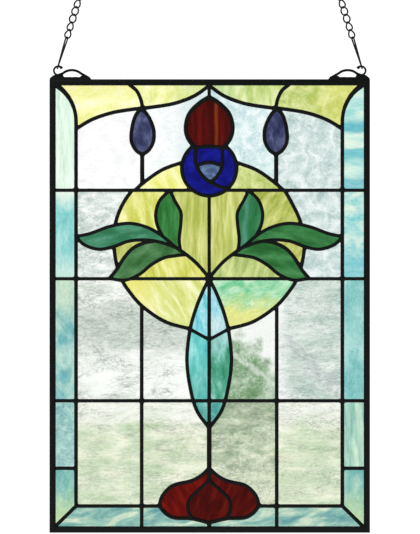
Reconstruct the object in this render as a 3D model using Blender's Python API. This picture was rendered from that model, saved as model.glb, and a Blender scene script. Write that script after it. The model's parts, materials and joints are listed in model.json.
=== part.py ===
"""Stained glass hanging panel: a floral pattern of coloured glass in soldered lead lines, a metal
channel frame, two bent wire hangers and two lengths of chain.

X runs to the right, Y away from the viewer, Z up. The origin is midway between the top rings of the
two chains, where the panel hangs. Sizes are in metres.
"""

import math
from collections import defaultdict
from dataclasses import dataclass, replace

import bmesh
import bpy
from mathutils import Matrix, Vector
from mathutils.geometry import delaunay_2d_cdt, intersect_point_tri_2d

# Whole panel, over the frame. Its height is the sum of the frame, the bottom border and the fields
PANEL_WIDTH = 0.359
FIT_GAP = 0.0003

# Frame: a channel open towards the glass
FRAME_FACE = 0.0067
FRAME_LIP = 0.0015
FRAME_SPINE = 0.0012
GLASS_THICKNESS = 0.0030

# Solder: a bead on both faces, joined by a heart between the panes
BEAD_HEIGHT = 0.0012
HEART_THICKNESS = 0.0010
LINE_WIDTH = 0.0041
FINE_LINE = 0.0038
STOUT_LINE = 0.0048
TRUNK_LINE = 0.0054

# Straight lead lines: the borders, and the fields between the bars, from the bottom up
SIDE_BORDER = 0.0235
BOTTOM_BORDER = 0.0230
LOWER_FIELD = 0.1180
MIDDLE_FIELD = 0.1368
UPPER_FIELD = 0.0992
TOP_FIELD = 0.1176
PATTERN_SHIFT = -0.0006
BORDER_BREAK = 0.0423
CORNER_RADIUS = 0.0480

# How far a faceted line may stand off its true curve
LINE_CHORD = 0.0015
WIRE_CHORD = 0.0004
MERGE = 0.000005
FLAT_TURN = 0.001

# Hangers: bent wire in a solder seat on the frame's top corners
ARCH_WIRE = 0.0029
CURL_WIRE = 0.0022
CURL_RADIUS = 0.0048
CURL_INSET = 0.0095
CURL_RISE = 0.0099
ARCH_INSET = 0.0248
ARCH_RISE = 0.0104
ARCH_RADIUS = 0.0164
ARCH_TURN = math.radians(40)
SEAT_LENGTH = 0.0465
FOOT_COVER = 0.0020
SEAT_HEIGHT = 0.0030
SEAT_DEPTH = 0.0056
BED_LENGTH = 0.0150
BED_RISE = 0.0028
BANK_LENGTH = 0.0113
BANK_RISE = 0.0016
SEAT_STEP = 0.0010

# Chains
CHAIN_WIRE = 0.0018
CHAIN_LEAN = math.radians(17.2)
CHAIN_SLIP = 0.0016
LINK_LENGTH = 0.0119
LINK_WIDTH = 0.0090
LINK_TWIST = math.radians(40)
LINK_COUNT = 6
LINK_BITE = 0.0006
LONG_LINK_LENGTH = 0.0387
LONG_LINK_WIDTH = 0.0060
LONG_LINK_TURN = math.radians(68)
LONG_LINK_TWIST = math.radians(16)
END_RING_RADIUS = 0.0056
END_RING_WIRE = 0.0021
WIRE_SIDES = 5
LINK_STEPS = 10

# Looks: colour, roughness, metallic
FINISHES = {
    "black_patina": ((0.012, 0.014, 0.015), 0.45, 0.7),
    "blackened_wire": ((0.015, 0.016, 0.017), 0.4, 0.8),
    "aqua_glass": ((0.28, 0.66, 0.64), 0.12, 0.0),
    "yellow_glass": ((0.86, 0.84, 0.25), 0.12, 0.0),
    "lime_glass": ((0.60, 0.70, 0.20), 0.12, 0.0),
    "clear_glass": ((0.86, 0.92, 0.88), 0.08, 0.0),
    "violet_glass": ((0.09, 0.10, 0.32), 0.12, 0.0),
    "red_glass": ((0.18, 0.005, 0.004), 0.12, 0.0),
    "cobalt_glass": ((0.008, 0.008, 0.26), 0.12, 0.0),
    "slate_glass": ((0.16, 0.27, 0.46), 0.12, 0.0),
    "green_glass": ((0.04, 0.28, 0.13), 0.12, 0.0),
    "turquoise_glass": ((0.12, 0.60, 0.62), 0.12, 0.0),
}

# Layers of the drawing: a line is hidden inside any figure that lies on a higher layer
GROUND, FIGURE, TOP_FIGURE, OVERLAY = range(4)

HALF_WIDTH = PANEL_WIDTH / 2
SIGHT_X = HALF_WIDTH - FRAME_FACE
BORDER_X = SIGHT_X - SIDE_BORDER
ROWS = [FRAME_FACE]
for row_height in (BOTTOM_BORDER, LOWER_FIELD, MIDDLE_FIELD, UPPER_FIELD, TOP_FIELD):
    ROWS.append(ROWS[-1] + row_height)
PANEL_HEIGHT = ROWS[5] + FRAME_FACE
EDGE_ACROSS = 2 + FRAME_FACE / SIDE_BORDER
EDGE_DOWN = -FRAME_FACE / BOTTOM_BORDER
EDGE_UP = 5 + FRAME_FACE / (ROWS[5] - ROWS[4])
CHANNEL = GLASS_THICKNESS + 2 * FIT_GAP
FRAME_DEPTH = CHANNEL + 2 * FRAME_LIP
CURL_CENTRE = Vector((HALF_WIDTH - CURL_INSET, PANEL_HEIGHT + CURL_RISE))


@dataclass
class Line:
    """One lead line: its middle, its width, and what it passes under."""

    points: list
    width: float
    layer: int = GROUND
    heart: bool = True
    within: str = ""


@dataclass
class Figure:
    """The closed area of a leaf, bud or bloom, which hides the ground lines behind it."""

    name: str
    outline: list
    layer: int = FIGURE


@dataclass
class Pane:
    """One piece of glass, found by a point that lies inside it."""

    name: str
    finish: str
    inside: tuple


def place(across, up):
    """A point given as shares of the lead grid. Across: 0 is the middle, 1 the border line and 2 the
    frame. Up: 0 the frame, 1 the bottom border line, 2, 3 and 4 the bars, and 5 the frame."""
    reach = abs(across)
    x = reach * BORDER_X if reach <= 1 else BORDER_X + (reach - 1) * SIDE_BORDER
    row = min(max(int(math.floor(up)), 0), len(ROWS) - 2)
    z = ROWS[row] + (up - row) * (ROWS[row + 1] - ROWS[row])
    return Vector((math.copysign(x, across) + PATTERN_SHIFT, z))


def smooth(knots, steps=10):
    """A smooth curve through the knots."""
    if len(knots) == 2:
        return list(knots)
    ends = [2 * knots[0] - knots[1], *knots, 2 * knots[-1] - knots[-2]]
    curve = [knots[0]]
    for before, start, end, after in zip(ends, ends[1:], ends[2:], ends[3:]):
        times = [0.0]
        for a, b in ((before, start), (start, end), (end, after)):
            times.append(times[-1] + math.sqrt((b - a).length))
        first, second, third, fourth = times
        for step in range(1, steps + 1):
            t = second + (third - second) * step / steps
            a1 = before.lerp(start, t / second)
            a2 = start.lerp(end, (t - second) / (third - second))
            a3 = end.lerp(after, (t - third) / (fourth - third))
            b1 = a1.lerp(a2, t / third)
            b2 = a2.lerp(a3, (t - second) / (fourth - second))
            curve.append(b1.lerp(b2, (t - second) / (third - second)))
    return curve


def drawn(*knots, side=1):
    """A faceted curve through knots given as shares of the grid, mirrored for side -1."""
    return thinned(smooth([place(side * across, up) for across, up in knots]), LINE_CHORD)


def arc(centre, half_width, half_height, start, end, steps=48):
    """Points round part of an oval, by angle in radians."""
    turns = (start + (end - start) * step / steps for step in range(steps + 1))
    return [centre + Vector((half_width * math.cos(turn), half_height * math.sin(turn))) for turn in turns]


def thinned(points, chord):
    """The same curve with only the points it needs to stay within the chord."""
    if len(points) < 3:
        return list(points)
    start, end = points[0], points[-1]
    along = end - start
    furthest, distance = 0, 0.0
    for index, point in enumerate(points[1:-1], 1):
        away = point - start
        share = max(0.0, min(1.0, away.dot(along) / along.length_squared)) if along.length_squared else 0.0
        off = (away - share * along).length
        if off > distance:
            furthest, distance = index, off
    if distance <= chord:
        return [start, end]
    return thinned(points[: furthest + 1], chord)[:-1] + thinned(points[furthest:], chord)


def normal_at(points, index):
    """The mitred sideways direction of a line at one of its points."""
    before = points[index] - points[index - 1] if index else points[1] - points[0]
    after = points[index + 1] - points[index] if index < len(points) - 1 else before
    before, after = before.normalized(), after.normalized()
    if (points[0] - points[-1]).length < MERGE and index in (0, len(points) - 1):
        before = (points[-1] - points[-2]).normalized()
        after = (points[1] - points[0]).normalized()
    middle = (before + after).normalized()
    return Vector((-middle.y, middle.x)) / max(middle.dot(after), 0.5)


def ribbon(points, width):
    """The line as a row of four-sided tiles that share their ends."""
    closed = (points[0] - points[-1]).length < MERGE
    points = list(points)
    if not closed:
        points[0] = points[0] + (points[0] - points[1]).normalized() * width / 4
        points[-1] = points[-1] + (points[-1] - points[-2]).normalized() * width / 4
    sides = [normal_at(points, index) * width / 2 for index in range(len(points))]
    tiles = []
    for index in range(len(points) - 1):
        a, b = points[index], points[index + 1]
        m, n = sides[index], sides[index + 1]
        tiles.append([a - m, b - n, b + n, a + m])
    return tiles


def corner_line(side):
    """A border line from the bottom border up, bending into the top corner of the frame."""
    centre = Vector((BORDER_X + CORNER_RADIUS, place(1, 4.657).y))
    turn = math.acos(1 - SIDE_BORDER / CORNER_RADIUS)
    bend = thinned(arc(centre, CORNER_RADIUS, CORNER_RADIUS, math.pi, math.pi - turn), LINE_CHORD)
    last = bend[-1] + (bend[-1] - bend[-2]).normalized() * FRAME_FACE
    points = [Vector((BORDER_X, ROWS[1])), *bend, last]
    return [Vector((side * point.x + PATTERN_SHIFT, point.y)) for point in points]


def rectangle(inset_x, inset_z):
    """A rectangle inside the panel's outer edge."""
    x, low, high = HALF_WIDTH - inset_x, inset_z, PANEL_HEIGHT - inset_z
    return [Vector((-x, low)), Vector((x, low)), Vector((x, high)), Vector((-x, high))]


def leaf_pieces(side, name, lines, figures):
    """The three leaves on one side and the stem that joins them."""
    long_top = drawn((1, 3.477), (0.897, 3.510), (0.751, 3.589), (0.601, 3.626), (0.473, 3.585),
                     (0.375, 3.507), (0.250, 3.353), side=side)
    long_foot = drawn((1, 3.469), (0.938, 3.384), (0.826, 3.333), (0.713, 3.365), (0.601, 3.426),
                      (0.465, 3.437), (0.360, 3.410), (0.250, 3.353), side=side)
    upright_outer = drawn((0.295, 4), (0.370, 3.887), (0.401, 3.740), (0.390, 3.605), (0.353, 3.492),
                          (0.330, 3.440), side=side)
    upright_inner = drawn((0.295, 4), (0.260, 3.887), (0.213, 3.751), (0.212, 3.638),
                          (0.225, 3.435), (0.215, 3.315), side=side)
    low_top = drawn((0.751, 3.002), (0.699, 3.096), (0.631, 3.254), (0.571, 3.347), (0.495, 3.402),
                    (0.420, 3.424), side=side)
    low_foot = drawn((0.184, 3.272), (0.255, 3.259), (0.338, 3.236), (0.435, 3.157),
                     (0.526, 3.047), (0.631, 2.989), (0.751, 3.002), side=side)
    stem = drawn((0.250, 3.353), (0.184, 3.286), (0.098, 3.179), (0, 3.011), side=side)
    seam = drawn((0.360, 3.410), (0.250, 3.353), (0.184, 3.284), side=side)
    upright_seam = drawn((0.330, 3.440), (0.250, 3.340), (0.215, 3.315), side=side)
    figures += [
        Figure(f"long_leaf_{name}", long_top + long_foot[::-1][1:-1], TOP_FIGURE),
        Figure(f"upright_leaf_{name}", upright_outer + upright_seam[1:] + upright_inner[::-1][1:-1]),
        Figure(f"low_leaf_{name}", low_top + seam + low_foot[1:-1]),
    ]
    lines += [
        Line(long_top, FINE_LINE, TOP_FIGURE),
        Line(long_foot, FINE_LINE, TOP_FIGURE),
        Line(upright_outer, FINE_LINE, FIGURE),
        Line(upright_inner, FINE_LINE, FIGURE),
        Line(low_top, LINE_WIDTH, FIGURE),
        Line(low_foot, FINE_LINE, FIGURE),
        Line(stem, LINE_WIDTH, OVERLAY),
    ]


def side_pieces(side, name, lines, figures):
    """Everything that one half of the pattern repeats in the other. The disc is flatter on the right."""
    shoulders = {
        "left": ((0.580, 4), (0.646, 3.853), (0.700, 3.650)),
        "right": ((0.566, 4), (0.622, 3.853), (0.684, 3.650)),
    }
    bud_outer = drawn((0.508, 4.781), (0.550, 4.719), (0.581, 4.585), (0.583, 4.460),
                      (0.546, 4.376), (0.502, 4.340), side=side)
    bud_inner = drawn((0.508, 4.781), (0.464, 4.719), (0.418, 4.585), (0.420, 4.460),
                      (0.458, 4.377), (0.502, 4.340), side=side)
    figures.append(Figure(f"bud_{name}", bud_outer + bud_inner[::-1][1:-1]))
    lines += [
        Line(bud_outer, LINE_WIDTH, FIGURE),
        Line(bud_inner, LINE_WIDTH, FIGURE),
        Line(drawn((0.503, 4.36), (0.503, 4.062), side=side), STOUT_LINE),
        Line(drawn((1, 4.585), (0.882, 4.673), (0.732, 4.738), (0.582, 4.771), (0.432, 4.792),
                   (0.263, 4.828), (0.113, 4.899), (0, 4.997), side=side), LINE_WIDTH),
        Line(drawn((0.640, EDGE_UP), (0.592, 5), (0.546, 4.950), (0.515, 4.870), (0.500, 4.786), side=side),
             LINE_WIDTH),
        Line(drawn((0.203, 4.267), (0.357, 4.192), (0.503, 4.062), (0.559, 4), side=side), LINE_WIDTH),
        Line(drawn(*shoulders[name], (0.715, 3.435), (0.702, 3.209), (0.661, 3), (0.593, 2.885),
                   (0.507, 2.779), (0.330, 2.648), (0.135, 2.586), side=side), LINE_WIDTH),
        Line(drawn((0.507, 2.779), (0.507, 1), side=side), LINE_WIDTH),
        Line(drawn((0.507, 1), (0.507, EDGE_DOWN), side=side), LINE_WIDTH, heart=False),
        Line(corner_line(side), LINE_WIDTH),
        Line(drawn((1, 1), (EDGE_ACROSS, EDGE_DOWN), side=side), LINE_WIDTH),
        Line(drawn((0.143, 2.586), (0, 2.5), side=side), FINE_LINE, FIGURE, False, "vesica"),
    ]
    for row in (2, 3, 4):
        lines.append(Line(drawn((0, row), (1, row), side=side), FINE_LINE))
        lines.append(Line(drawn((1, row), (EDGE_ACROSS, row), side=side), FINE_LINE, heart=False))
    lines.append(Line(drawn((0, 1), (1, 1), side=side), FINE_LINE))
    break_z = ROWS[1] + BORDER_BREAK
    lines.append(Line([Vector((place(reach, 1).x, break_z)) for reach in (side, side * EDGE_ACROSS)],
                      FINE_LINE, heart=False))
    leaf_pieces(side, name, lines, figures)


def middle_pieces(lines, figures):
    """The bloom, the blue ring, the long pointed shape and the bulb, down the middle of the panel."""
    bloom_knots = ((0, 4.890), (0.066, 4.838), (0.148, 4.733), (0.176, 4.600), (0.161, 4.500),
                   (0.109, 4.407))
    vesica_knots = ((0, 3), (0.044, 2.906), (0.104, 2.742), (0.143, 2.586), (0.164, 2.414),
                    (0.167, 2.324), (0.149, 2.143), (0.094, 1.910), (0, 1.739))
    bulb_knots = ((0, 1.360), (0.056, 1.294), (0.124, 1.244), (0.282, 1.187), (0.357, 1.083),
                  (0.366, 0.961), (0.285, 0.473), (0.128, 0.385), (0, 0.180))
    petal_knots = ((0, 1.240), (0.083, 1.149), (0.153, 1.054), (0.156, 0.741), (0.124, 0.340))
    bloom_foot = drawn((0.109, 4.407), (0, 4.419), (-0.109, 4.407))
    halves = {"bloom": bloom_knots, "vesica": vesica_knots, "bulb": bulb_knots}
    layers = {"bloom": TOP_FIGURE, "vesica": FIGURE, "bulb": FIGURE}
    for name, knots in halves.items():
        right, left = drawn(*knots), drawn(*knots, side=-1)
        foot = bloom_foot[1:] if name == "bloom" else []
        figures.append(Figure(name, right + foot + left[::-1][1:-1] if foot else
                              right + left[::-1][1:-1], layers[name]))
        width = STOUT_LINE if name == "bloom" else LINE_WIDTH
        lines += [Line(right, width, layers[name]), Line(left, width, layers[name])]
    lines.append(Line(bloom_foot, LINE_WIDTH, TOP_FIGURE))
    for side in (-1, 1):
        lines.append(Line(drawn(*petal_knots, side=side), FINE_LINE, FIGURE, within="bulb"))
    ring_centre = place(0, 4.209)
    ring_width, ring_height = place(0.2063, 4).x - ring_centre.x, place(0, 4.4709).y - ring_centre.y
    ring = thinned(arc(ring_centre, ring_width, ring_height, 0, 2 * math.pi), LINE_CHORD)
    figures.append(Figure("ring", ring[:-1]))
    lines += [
        Line(ring, LINE_WIDTH, FIGURE),
        Line(drawn((-0.101, 4.45), (-0.103, 4.336), (-0.099, 4.249), (-0.041, 4.125),
                   (0.038, 4.058), (0.098, 4.027), (0.180, 4.020)), LINE_WIDTH, FIGURE, within="ring"),
        Line(drawn((0.098, 4.45), (0.098, 4.259), (0.090, 4.201), (0.056, 4.128), (0.011, 4.076)),
             LINE_WIDTH, FIGURE, within="ring"),
        Line(drawn((-0.099, 4.238), (0, 4.266), (0.098, 4.236)), LINE_WIDTH, FIGURE, within="ring"),
        Line(drawn((0, EDGE_UP), (0, 4.87)), FINE_LINE),
        Line(drawn((0, 4), (0, 3)), FINE_LINE),
        Line(drawn((0, 2.99), (0, 1.735)), LINE_WIDTH, FIGURE, within="vesica"),
        Line(drawn((-0.2, 2), (0.2, 2)), FINE_LINE, FIGURE, False, "vesica"),
        Line(drawn((0, 1.77), (0, 1.34)), TRUNK_LINE),
        Line(drawn((0, 1.37), (0, 1.22)), STOUT_LINE, FIGURE, within="bulb"),
        Line(drawn((0, 0.2), (0, EDGE_DOWN)), STOUT_LINE),
    ]


def draw_pattern():
    """Every lead line and figure of the pattern."""
    lines, figures = [], []
    for side, name in ((-1, "left"), (1, "right")):
        side_pieces(side, name, lines, figures)
    middle_pieces(lines, figures)
    return lines, figures


def pane_list():
    """Every pane, with a point inside it as shares of the grid."""
    panes = [
        Pane("glass_bloom_red", "red_glass", (0, 4.62)),
        Pane("glass_ring_crown", "cobalt_glass", (0, 4.33)),
        Pane("glass_ring_crescent", "cobalt_glass", (-0.165, 4.19)),
        Pane("glass_ring_side", "cobalt_glass", (0.15, 4.19)),
        Pane("glass_ring_eye", "slate_glass", (0, 4.18)),
        Pane("glass_bulb_petal", "red_glass", (0, 1.03)),
    ]
    both = [
        ("glass_border_side", "aqua_glass", (1.5, 2.6)),
        ("glass_border_bottom", "aqua_glass", (0.75, 0.5)),
        ("glass_top_corner", "yellow_glass", (0.79, 4.87)),
        ("glass_top_centre", "yellow_glass", (0.34, 4.93)),
        ("glass_field_top_outer", "clear_glass", (0.79, 4.35)),
        ("glass_field_top_inner", "clear_glass", (0.31, 4.45)),
        ("glass_bud", "violet_glass", (0.503, 4.55)),
        ("glass_disc_cap", "yellow_glass", (0.36, 4.08)),
        ("glass_disc_outer", "yellow_glass", (0.55, 3.78)),
        ("glass_disc_inner", "lime_glass", (0.11, 3.7)),
        ("glass_disc_chip", "lime_glass", (0.645, 3.335)),
        ("glass_disc_underleaf", "lime_glass", (0.34, 3.1)),
        ("glass_disc_quarter", "yellow_glass", (0.34, 2.82)),
        ("glass_field_side_upper", "clear_glass", (0.84, 3.75)),
        ("glass_field_side_lower", "clear_glass", (0.88, 3.15)),
        ("glass_leaf_long", "green_glass", (0.71, 3.48)),
        ("glass_leaf_upright", "green_glass", (0.30, 3.66)),
        ("glass_leaf_low", "green_glass", (0.53, 3.23)),
        ("glass_vesica", "turquoise_glass", (0.075, 2.25)),
        ("glass_field_low_outer", "clear_glass", (0.83, 2.4)),
        ("glass_field_low_inner", "clear_glass", (0.38, 2.35)),
        ("glass_field_foot_outer", "clear_glass", (0.83, 1.5)),
        ("glass_field_foot_inner", "clear_glass", (0.30, 1.6)),
        ("glass_bulb_lobe", "red_glass", (0.28, 1.03)),
    ]
    for name, finish, (across, up) in both:
        panes.append(Pane(f"{name}_left", finish, (-across, up)))
        panes.append(Pane(f"{name}_right", finish, (across, up)))
    return panes


class Arrangement:
    """The drawing cut into triangles, each of which knows the lines and figures that cover it."""

    def __init__(self):
        self.points = []
        self.faces = []
        self.owners = []

    def add(self, outline, owner):
        """Add one closed outline that belongs to the owner."""
        area = sum(a.cross(b) for a, b in zip(outline, outline[1:] + outline[:1]))
        outline = outline if area > 0 else outline[::-1]
        self.faces.append(list(range(len(self.points), len(self.points) + len(outline))))
        self.points += outline
        self.owners.append(owner)

    def add_ribbon(self, line, width, owner):
        """Add a line's tiles at the given width."""
        for tile in ribbon(line.points, width):
            self.add(tile, owner)

    def add_figures(self, figures):
        """Add the figures, as areas that hide what lies under them."""
        for figure in figures:
            self.add(figure.outline, figure)

    def cut(self):
        """The corners, the triangles, and the owners that cover each triangle."""
        corners, _, triangles, _, _, covers = delaunay_2d_cdt(
            self.points, [], self.faces, 1, MERGE, True)
        return corners, triangles, [[self.owners[face] for face in cover] for cover in covers]


def shows(line, figures):
    """Whether a line can be seen inside these figures."""
    if line.within and line.within not in {figure.name for figure in figures}:
        return False
    return all(figure.layer <= line.layer for figure in figures)


def flat_mesh(corners, triangles, marks, level):
    """The triangles as one flat sheet facing the viewer, with a material index for each mark."""
    sheet = bmesh.new()
    made = {}
    for triangle, mark in zip(triangles, marks):
        for corner in triangle:
            if corner not in made:
                made[corner] = sheet.verts.new((corners[corner].x, level, corners[corner].y))
        sheet.faces.new([made[corner] for corner in triangle]).material_index = mark
    merge_flat(sheet, {"MATERIAL"})
    return sheet


def shared_edges(triangles):
    """Which triangles share each edge, by the edge's two corners."""
    sharing = defaultdict(list)
    for index, triangle in enumerate(triangles):
        for a, b in zip(triangle, triangle[1:] + triangle[:1]):
            sharing[min(a, b), max(a, b)].append(index)
    return sharing


def joined_groups(triangles):
    """The triangles' places in the list, in groups that hang together along shared edges."""
    neighbours = defaultdict(list)
    for owners in shared_edges(triangles).values():
        for index in owners:
            neighbours[index] += [other for other in owners if other != index]
    groups, seen = [], set()
    for start in range(len(triangles)):
        if start in seen:
            continue
        group, waiting = [], [start]
        seen.add(start)
        while waiting:
            index = waiting.pop()
            group.append(index)
            fresh = [other for other in neighbours[index] if other not in seen]
            seen.update(fresh)
            waiting += fresh
        groups.append(group)
    return groups


def fill_hollows(triangles, marks):
    """Mark as heart each hollow between hearts that the beads cover all round: solder runs into it."""
    rim = {edge for edge, owners in shared_edges(triangles).items() if len(owners) == 1}
    open_ones = [index for index, mark in enumerate(marks) if not mark]
    for group in joined_groups([triangles[index] for index in open_ones]):
        members = [open_ones[index] for index in group]
        if rim.isdisjoint(shared_edges([triangles[index] for index in members])):
            for index in members:
                marks[index] = 1


def merge_flat(sheet, delimit):
    """Merge the faces that lie in one plane, and the edges that run on straight."""
    sheet.normal_update()
    bmesh.ops.dissolve_limit(sheet, angle_limit=FLAT_TURN, use_dissolve_boundaries=False,
                             verts=sheet.verts, edges=sheet.edges, delimit=delimit)


def pulled(sheet, faces, distance):
    """Extrude faces along Y and return the faces at the far end."""
    made = bmesh.ops.extrude_face_region(sheet, geom=list(faces))["geom"]
    verts = [item for item in made if isinstance(item, bmesh.types.BMVert)]
    bmesh.ops.translate(sheet, vec=(0, distance, 0), verts=verts)
    return [item for item in made if isinstance(item, bmesh.types.BMFace)]


def finish_for(name):
    """The material of that name, made on first use."""
    if name in bpy.data.materials:
        return bpy.data.materials[name]
    colour, roughness, metallic = FINISHES[name]
    material = bpy.data.materials.new(name)
    material.use_nodes = True
    shader = material.node_tree.nodes["Principled BSDF"]
    shader.inputs["Base Color"].default_value = (*colour, 1)
    shader.inputs["Roughness"].default_value = roughness
    shader.inputs["Metallic"].default_value = metallic
    if name.endswith("glass"):
        shader.inputs["Transmission Weight"].default_value = 0.8
    material.diffuse_color = (*colour, 1)
    return material


def add_object(name, shape, finish, parent, round_edges=False):
    """Turn a bmesh into a named object."""
    bmesh.ops.recalc_face_normals(shape, faces=shape.faces)
    for face in shape.faces:
        face.material_index = 0
    mesh = bpy.data.meshes.new(name)
    shape.to_mesh(mesh)
    shape.free()
    if round_edges:
        mesh.shade_smooth()
        mesh.set_sharp_from_angle(angle=math.radians(50))
    mesh.materials.append(finish_for(finish))
    made = bpy.data.objects.new(name, mesh)
    made.parent = parent
    bpy.context.scene.collection.objects.link(made)
    return made


def solder_network(lines, figures, parent):
    """The lead lines: beads on both faces, and the hearts that join them between the panes."""
    drawing = Arrangement()
    hearts = [replace(line, width=HEART_THICKNESS) for line in lines if line.heart]
    for line in lines + hearts:
        drawing.add_ribbon(line, line.width, line)
    drawing.add_figures(figures)
    drawing.add(rectangle(FRAME_FACE + FIT_GAP, FRAME_FACE + FIT_GAP), "bead opening")
    inset = FRAME_FACE + FIT_GAP + HEART_THICKNESS
    drawing.add(rectangle(inset, inset), "heart opening")
    corners, triangles, covers = drawing.cut()
    heart_lines = {id(line) for line in hearts}
    kept, marks = [], []
    for triangle, cover in zip(triangles, covers):
        over = [item for item in cover if isinstance(item, Figure)]
        seen = [item for item in cover if isinstance(item, Line) and shows(item, over)]
        if "bead opening" not in cover or not seen:
            continue
        core = "heart opening" in cover and any(id(line) in heart_lines for line in seen)
        kept.append(triangle)
        marks.append(int(core))
    fill_hollows(kept, marks)
    sheet = flat_mesh(corners, kept, marks, -(CHANNEL / 2 + BEAD_HEIGHT))
    inner = pulled(sheet, sheet.faces[:], BEAD_HEIGHT)
    cores = [face for face in inner if face.material_index == 1]
    beads = [face for face in sheet.faces if face not in cores]
    bmesh.ops.mirror(sheet, geom=beads, matrix=Matrix.Identity(4), merge_dist=MERGE, axis="Y")
    ends = pulled(sheet, cores, CHANNEL)
    bmesh.ops.delete(sheet, geom=ends + [face for face in cores if face.is_valid], context="FACES")
    bmesh.ops.remove_doubles(sheet, verts=sheet.verts, dist=MERGE)
    merge_flat(sheet, set())
    return add_object("solder_network", sheet, "black_patina", parent)


def pane_regions(lines, figures):
    """The openings that the hearts leave, as corners and a list of triangle groups."""
    drawing = Arrangement()
    room = HEART_THICKNESS + 2 * FIT_GAP
    for line in lines:
        if line.heart:
            drawing.add_ribbon(line, room, line)
    drawing.add_figures(figures)
    edge = FRAME_SPINE + FIT_GAP
    drawing.add(rectangle(edge, edge), "glass opening")
    corners, triangles, covers = drawing.cut()
    free = []
    for triangle, cover in zip(triangles, covers):
        over = [item for item in cover if isinstance(item, Figure)]
        seen = [item for item in cover if isinstance(item, Line) and shows(item, over)]
        if "glass opening" in cover and not seen:
            free.append(triangle)
    return corners, [[free[index] for index in group] for group in joined_groups(free)]


def holds(corners, group, point):
    """Whether a group of triangles covers the point."""
    return any(intersect_point_tri_2d(point, *(corners[corner] for corner in triangle)) for triangle in group)


def glass_panes(lines, figures, parent):
    """Every pane, cut to the opening around its point."""
    corners, groups = pane_regions(lines, figures)
    for pane in pane_list():
        point = place(*pane.inside)
        group = next((group for group in groups if holds(corners, group, point)), None)
        if group is None:
            raise ValueError(f"{pane.name} has no opening at its point")
        groups.remove(group)
        sheet = flat_mesh(corners, group, [0] * len(group), -GLASS_THICKNESS / 2)
        pulled(sheet, sheet.faces[:], GLASS_THICKNESS)
        add_object(pane.name, sheet, pane.finish, parent)


def channel_frame(parent):
    """The frame: a channel profile carried round the four sides, mitred at the corners."""
    front, slot = FRAME_DEPTH / 2, CHANNEL / 2
    profile = [(0, -front), (FRAME_FACE, -front), (FRAME_FACE, -slot), (FRAME_SPINE, -slot),
               (FRAME_SPINE, slot), (FRAME_FACE, slot), (FRAME_FACE, front), (0, front)]
    shape = bmesh.new()
    rings = []
    for corner in range(4):
        ring = []
        for inset, y in profile:
            point = rectangle(inset, inset)[corner]
            ring.append(shape.verts.new((point.x, y, point.y)))
        rings.append(ring)
    for corner in range(4):
        this, following = rings[corner], rings[(corner + 1) % 4]
        for index in range(len(profile)):
            other = (index + 1) % len(profile)
            shape.faces.new((this[index], following[index], following[other], this[other]))
    return add_object("frame", shape, "black_patina", parent)


def tube(path, radii, closed=False, sides=WIRE_SIDES):
    """A bmesh of round wire along a path in space, with closed ends where the path is open."""
    shape = bmesh.new()
    count = len(path)
    rings = []
    across = None
    for index, point in enumerate(path):
        before = path[index - 1] if index or closed else point
        after = path[(index + 1) % count] if index < count - 1 or closed else point
        along = (after - before).normalized()
        if across is None:
            across = along.orthogonal().normalized()
        across = (across - across.dot(along) * along).normalized()
        up = along.cross(across)
        ring = []
        for side in range(sides):
            turn = 2 * math.pi * side / sides
            offset = math.cos(turn) * across + math.sin(turn) * up
            ring.append(shape.verts.new(point + radii[index] * offset))
        rings.append(ring)
    for index in range(count if closed else count - 1):
        this, following = rings[index], rings[(index + 1) % count]
        slip = 0
        if closed and index == count - 1:
            slip = min(range(sides), key=lambda turn: (this[0].co - following[turn].co).length)
        for side in range(sides):
            other = (side + 1) % sides
            shape.faces.new((this[side], this[other], following[(other + slip) % sides],
                             following[(side + slip) % sides]))
    if not closed:
        shape.faces.new(rings[0])
        shape.faces.new(rings[-1])
    return shape


def helper(name, shape, finish, parent):
    """An object that is only joined to another, and isn't drawn itself."""
    made = add_object(name, shape, finish, parent)
    made.hide_render = True
    made.display_type = "WIRE"
    return made


def join(base, others, solver="EXACT"):
    """Join helpers to the base object."""
    for other in others:
        union = base.modifiers.new(other.name, "BOOLEAN")
        union.operation = "UNION"
        union.solver = solver
        union.object = other


def hanger_wire(side):
    """The wire of one hanger: its foot, its arch and the open curl at the outer end."""
    foot = Vector((HALF_WIDTH - SEAT_LENGTH + FOOT_COVER, PANEL_HEIGHT + SEAT_HEIGHT / 2))
    arch_centre = Vector((HALF_WIDTH - ARCH_INSET, PANEL_HEIGHT + ARCH_RISE - ARCH_RADIUS))
    arch = arc(arch_centre, ARCH_RADIUS, ARCH_RADIUS, math.pi / 2 + ARCH_TURN, math.pi / 2 - ARCH_TURN)
    rise = thinned([foot, *arch, CURL_CENTRE - Vector((0, CURL_RADIUS))], WIRE_CHORD)
    curl = arc(CURL_CENTRE, CURL_RADIUS, CURL_RADIUS, -math.pi / 2, math.radians(152))
    curl = thinned(curl, WIRE_CHORD)
    points = rise + curl[1:]
    radii = [ARCH_WIRE / 2] * (len(rise) - 1) + [CURL_WIRE / 2] * len(curl)
    path = [Vector((side * point.x, 0, point.y)) for point in points]
    return tube(path, radii, sides=6)


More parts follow.
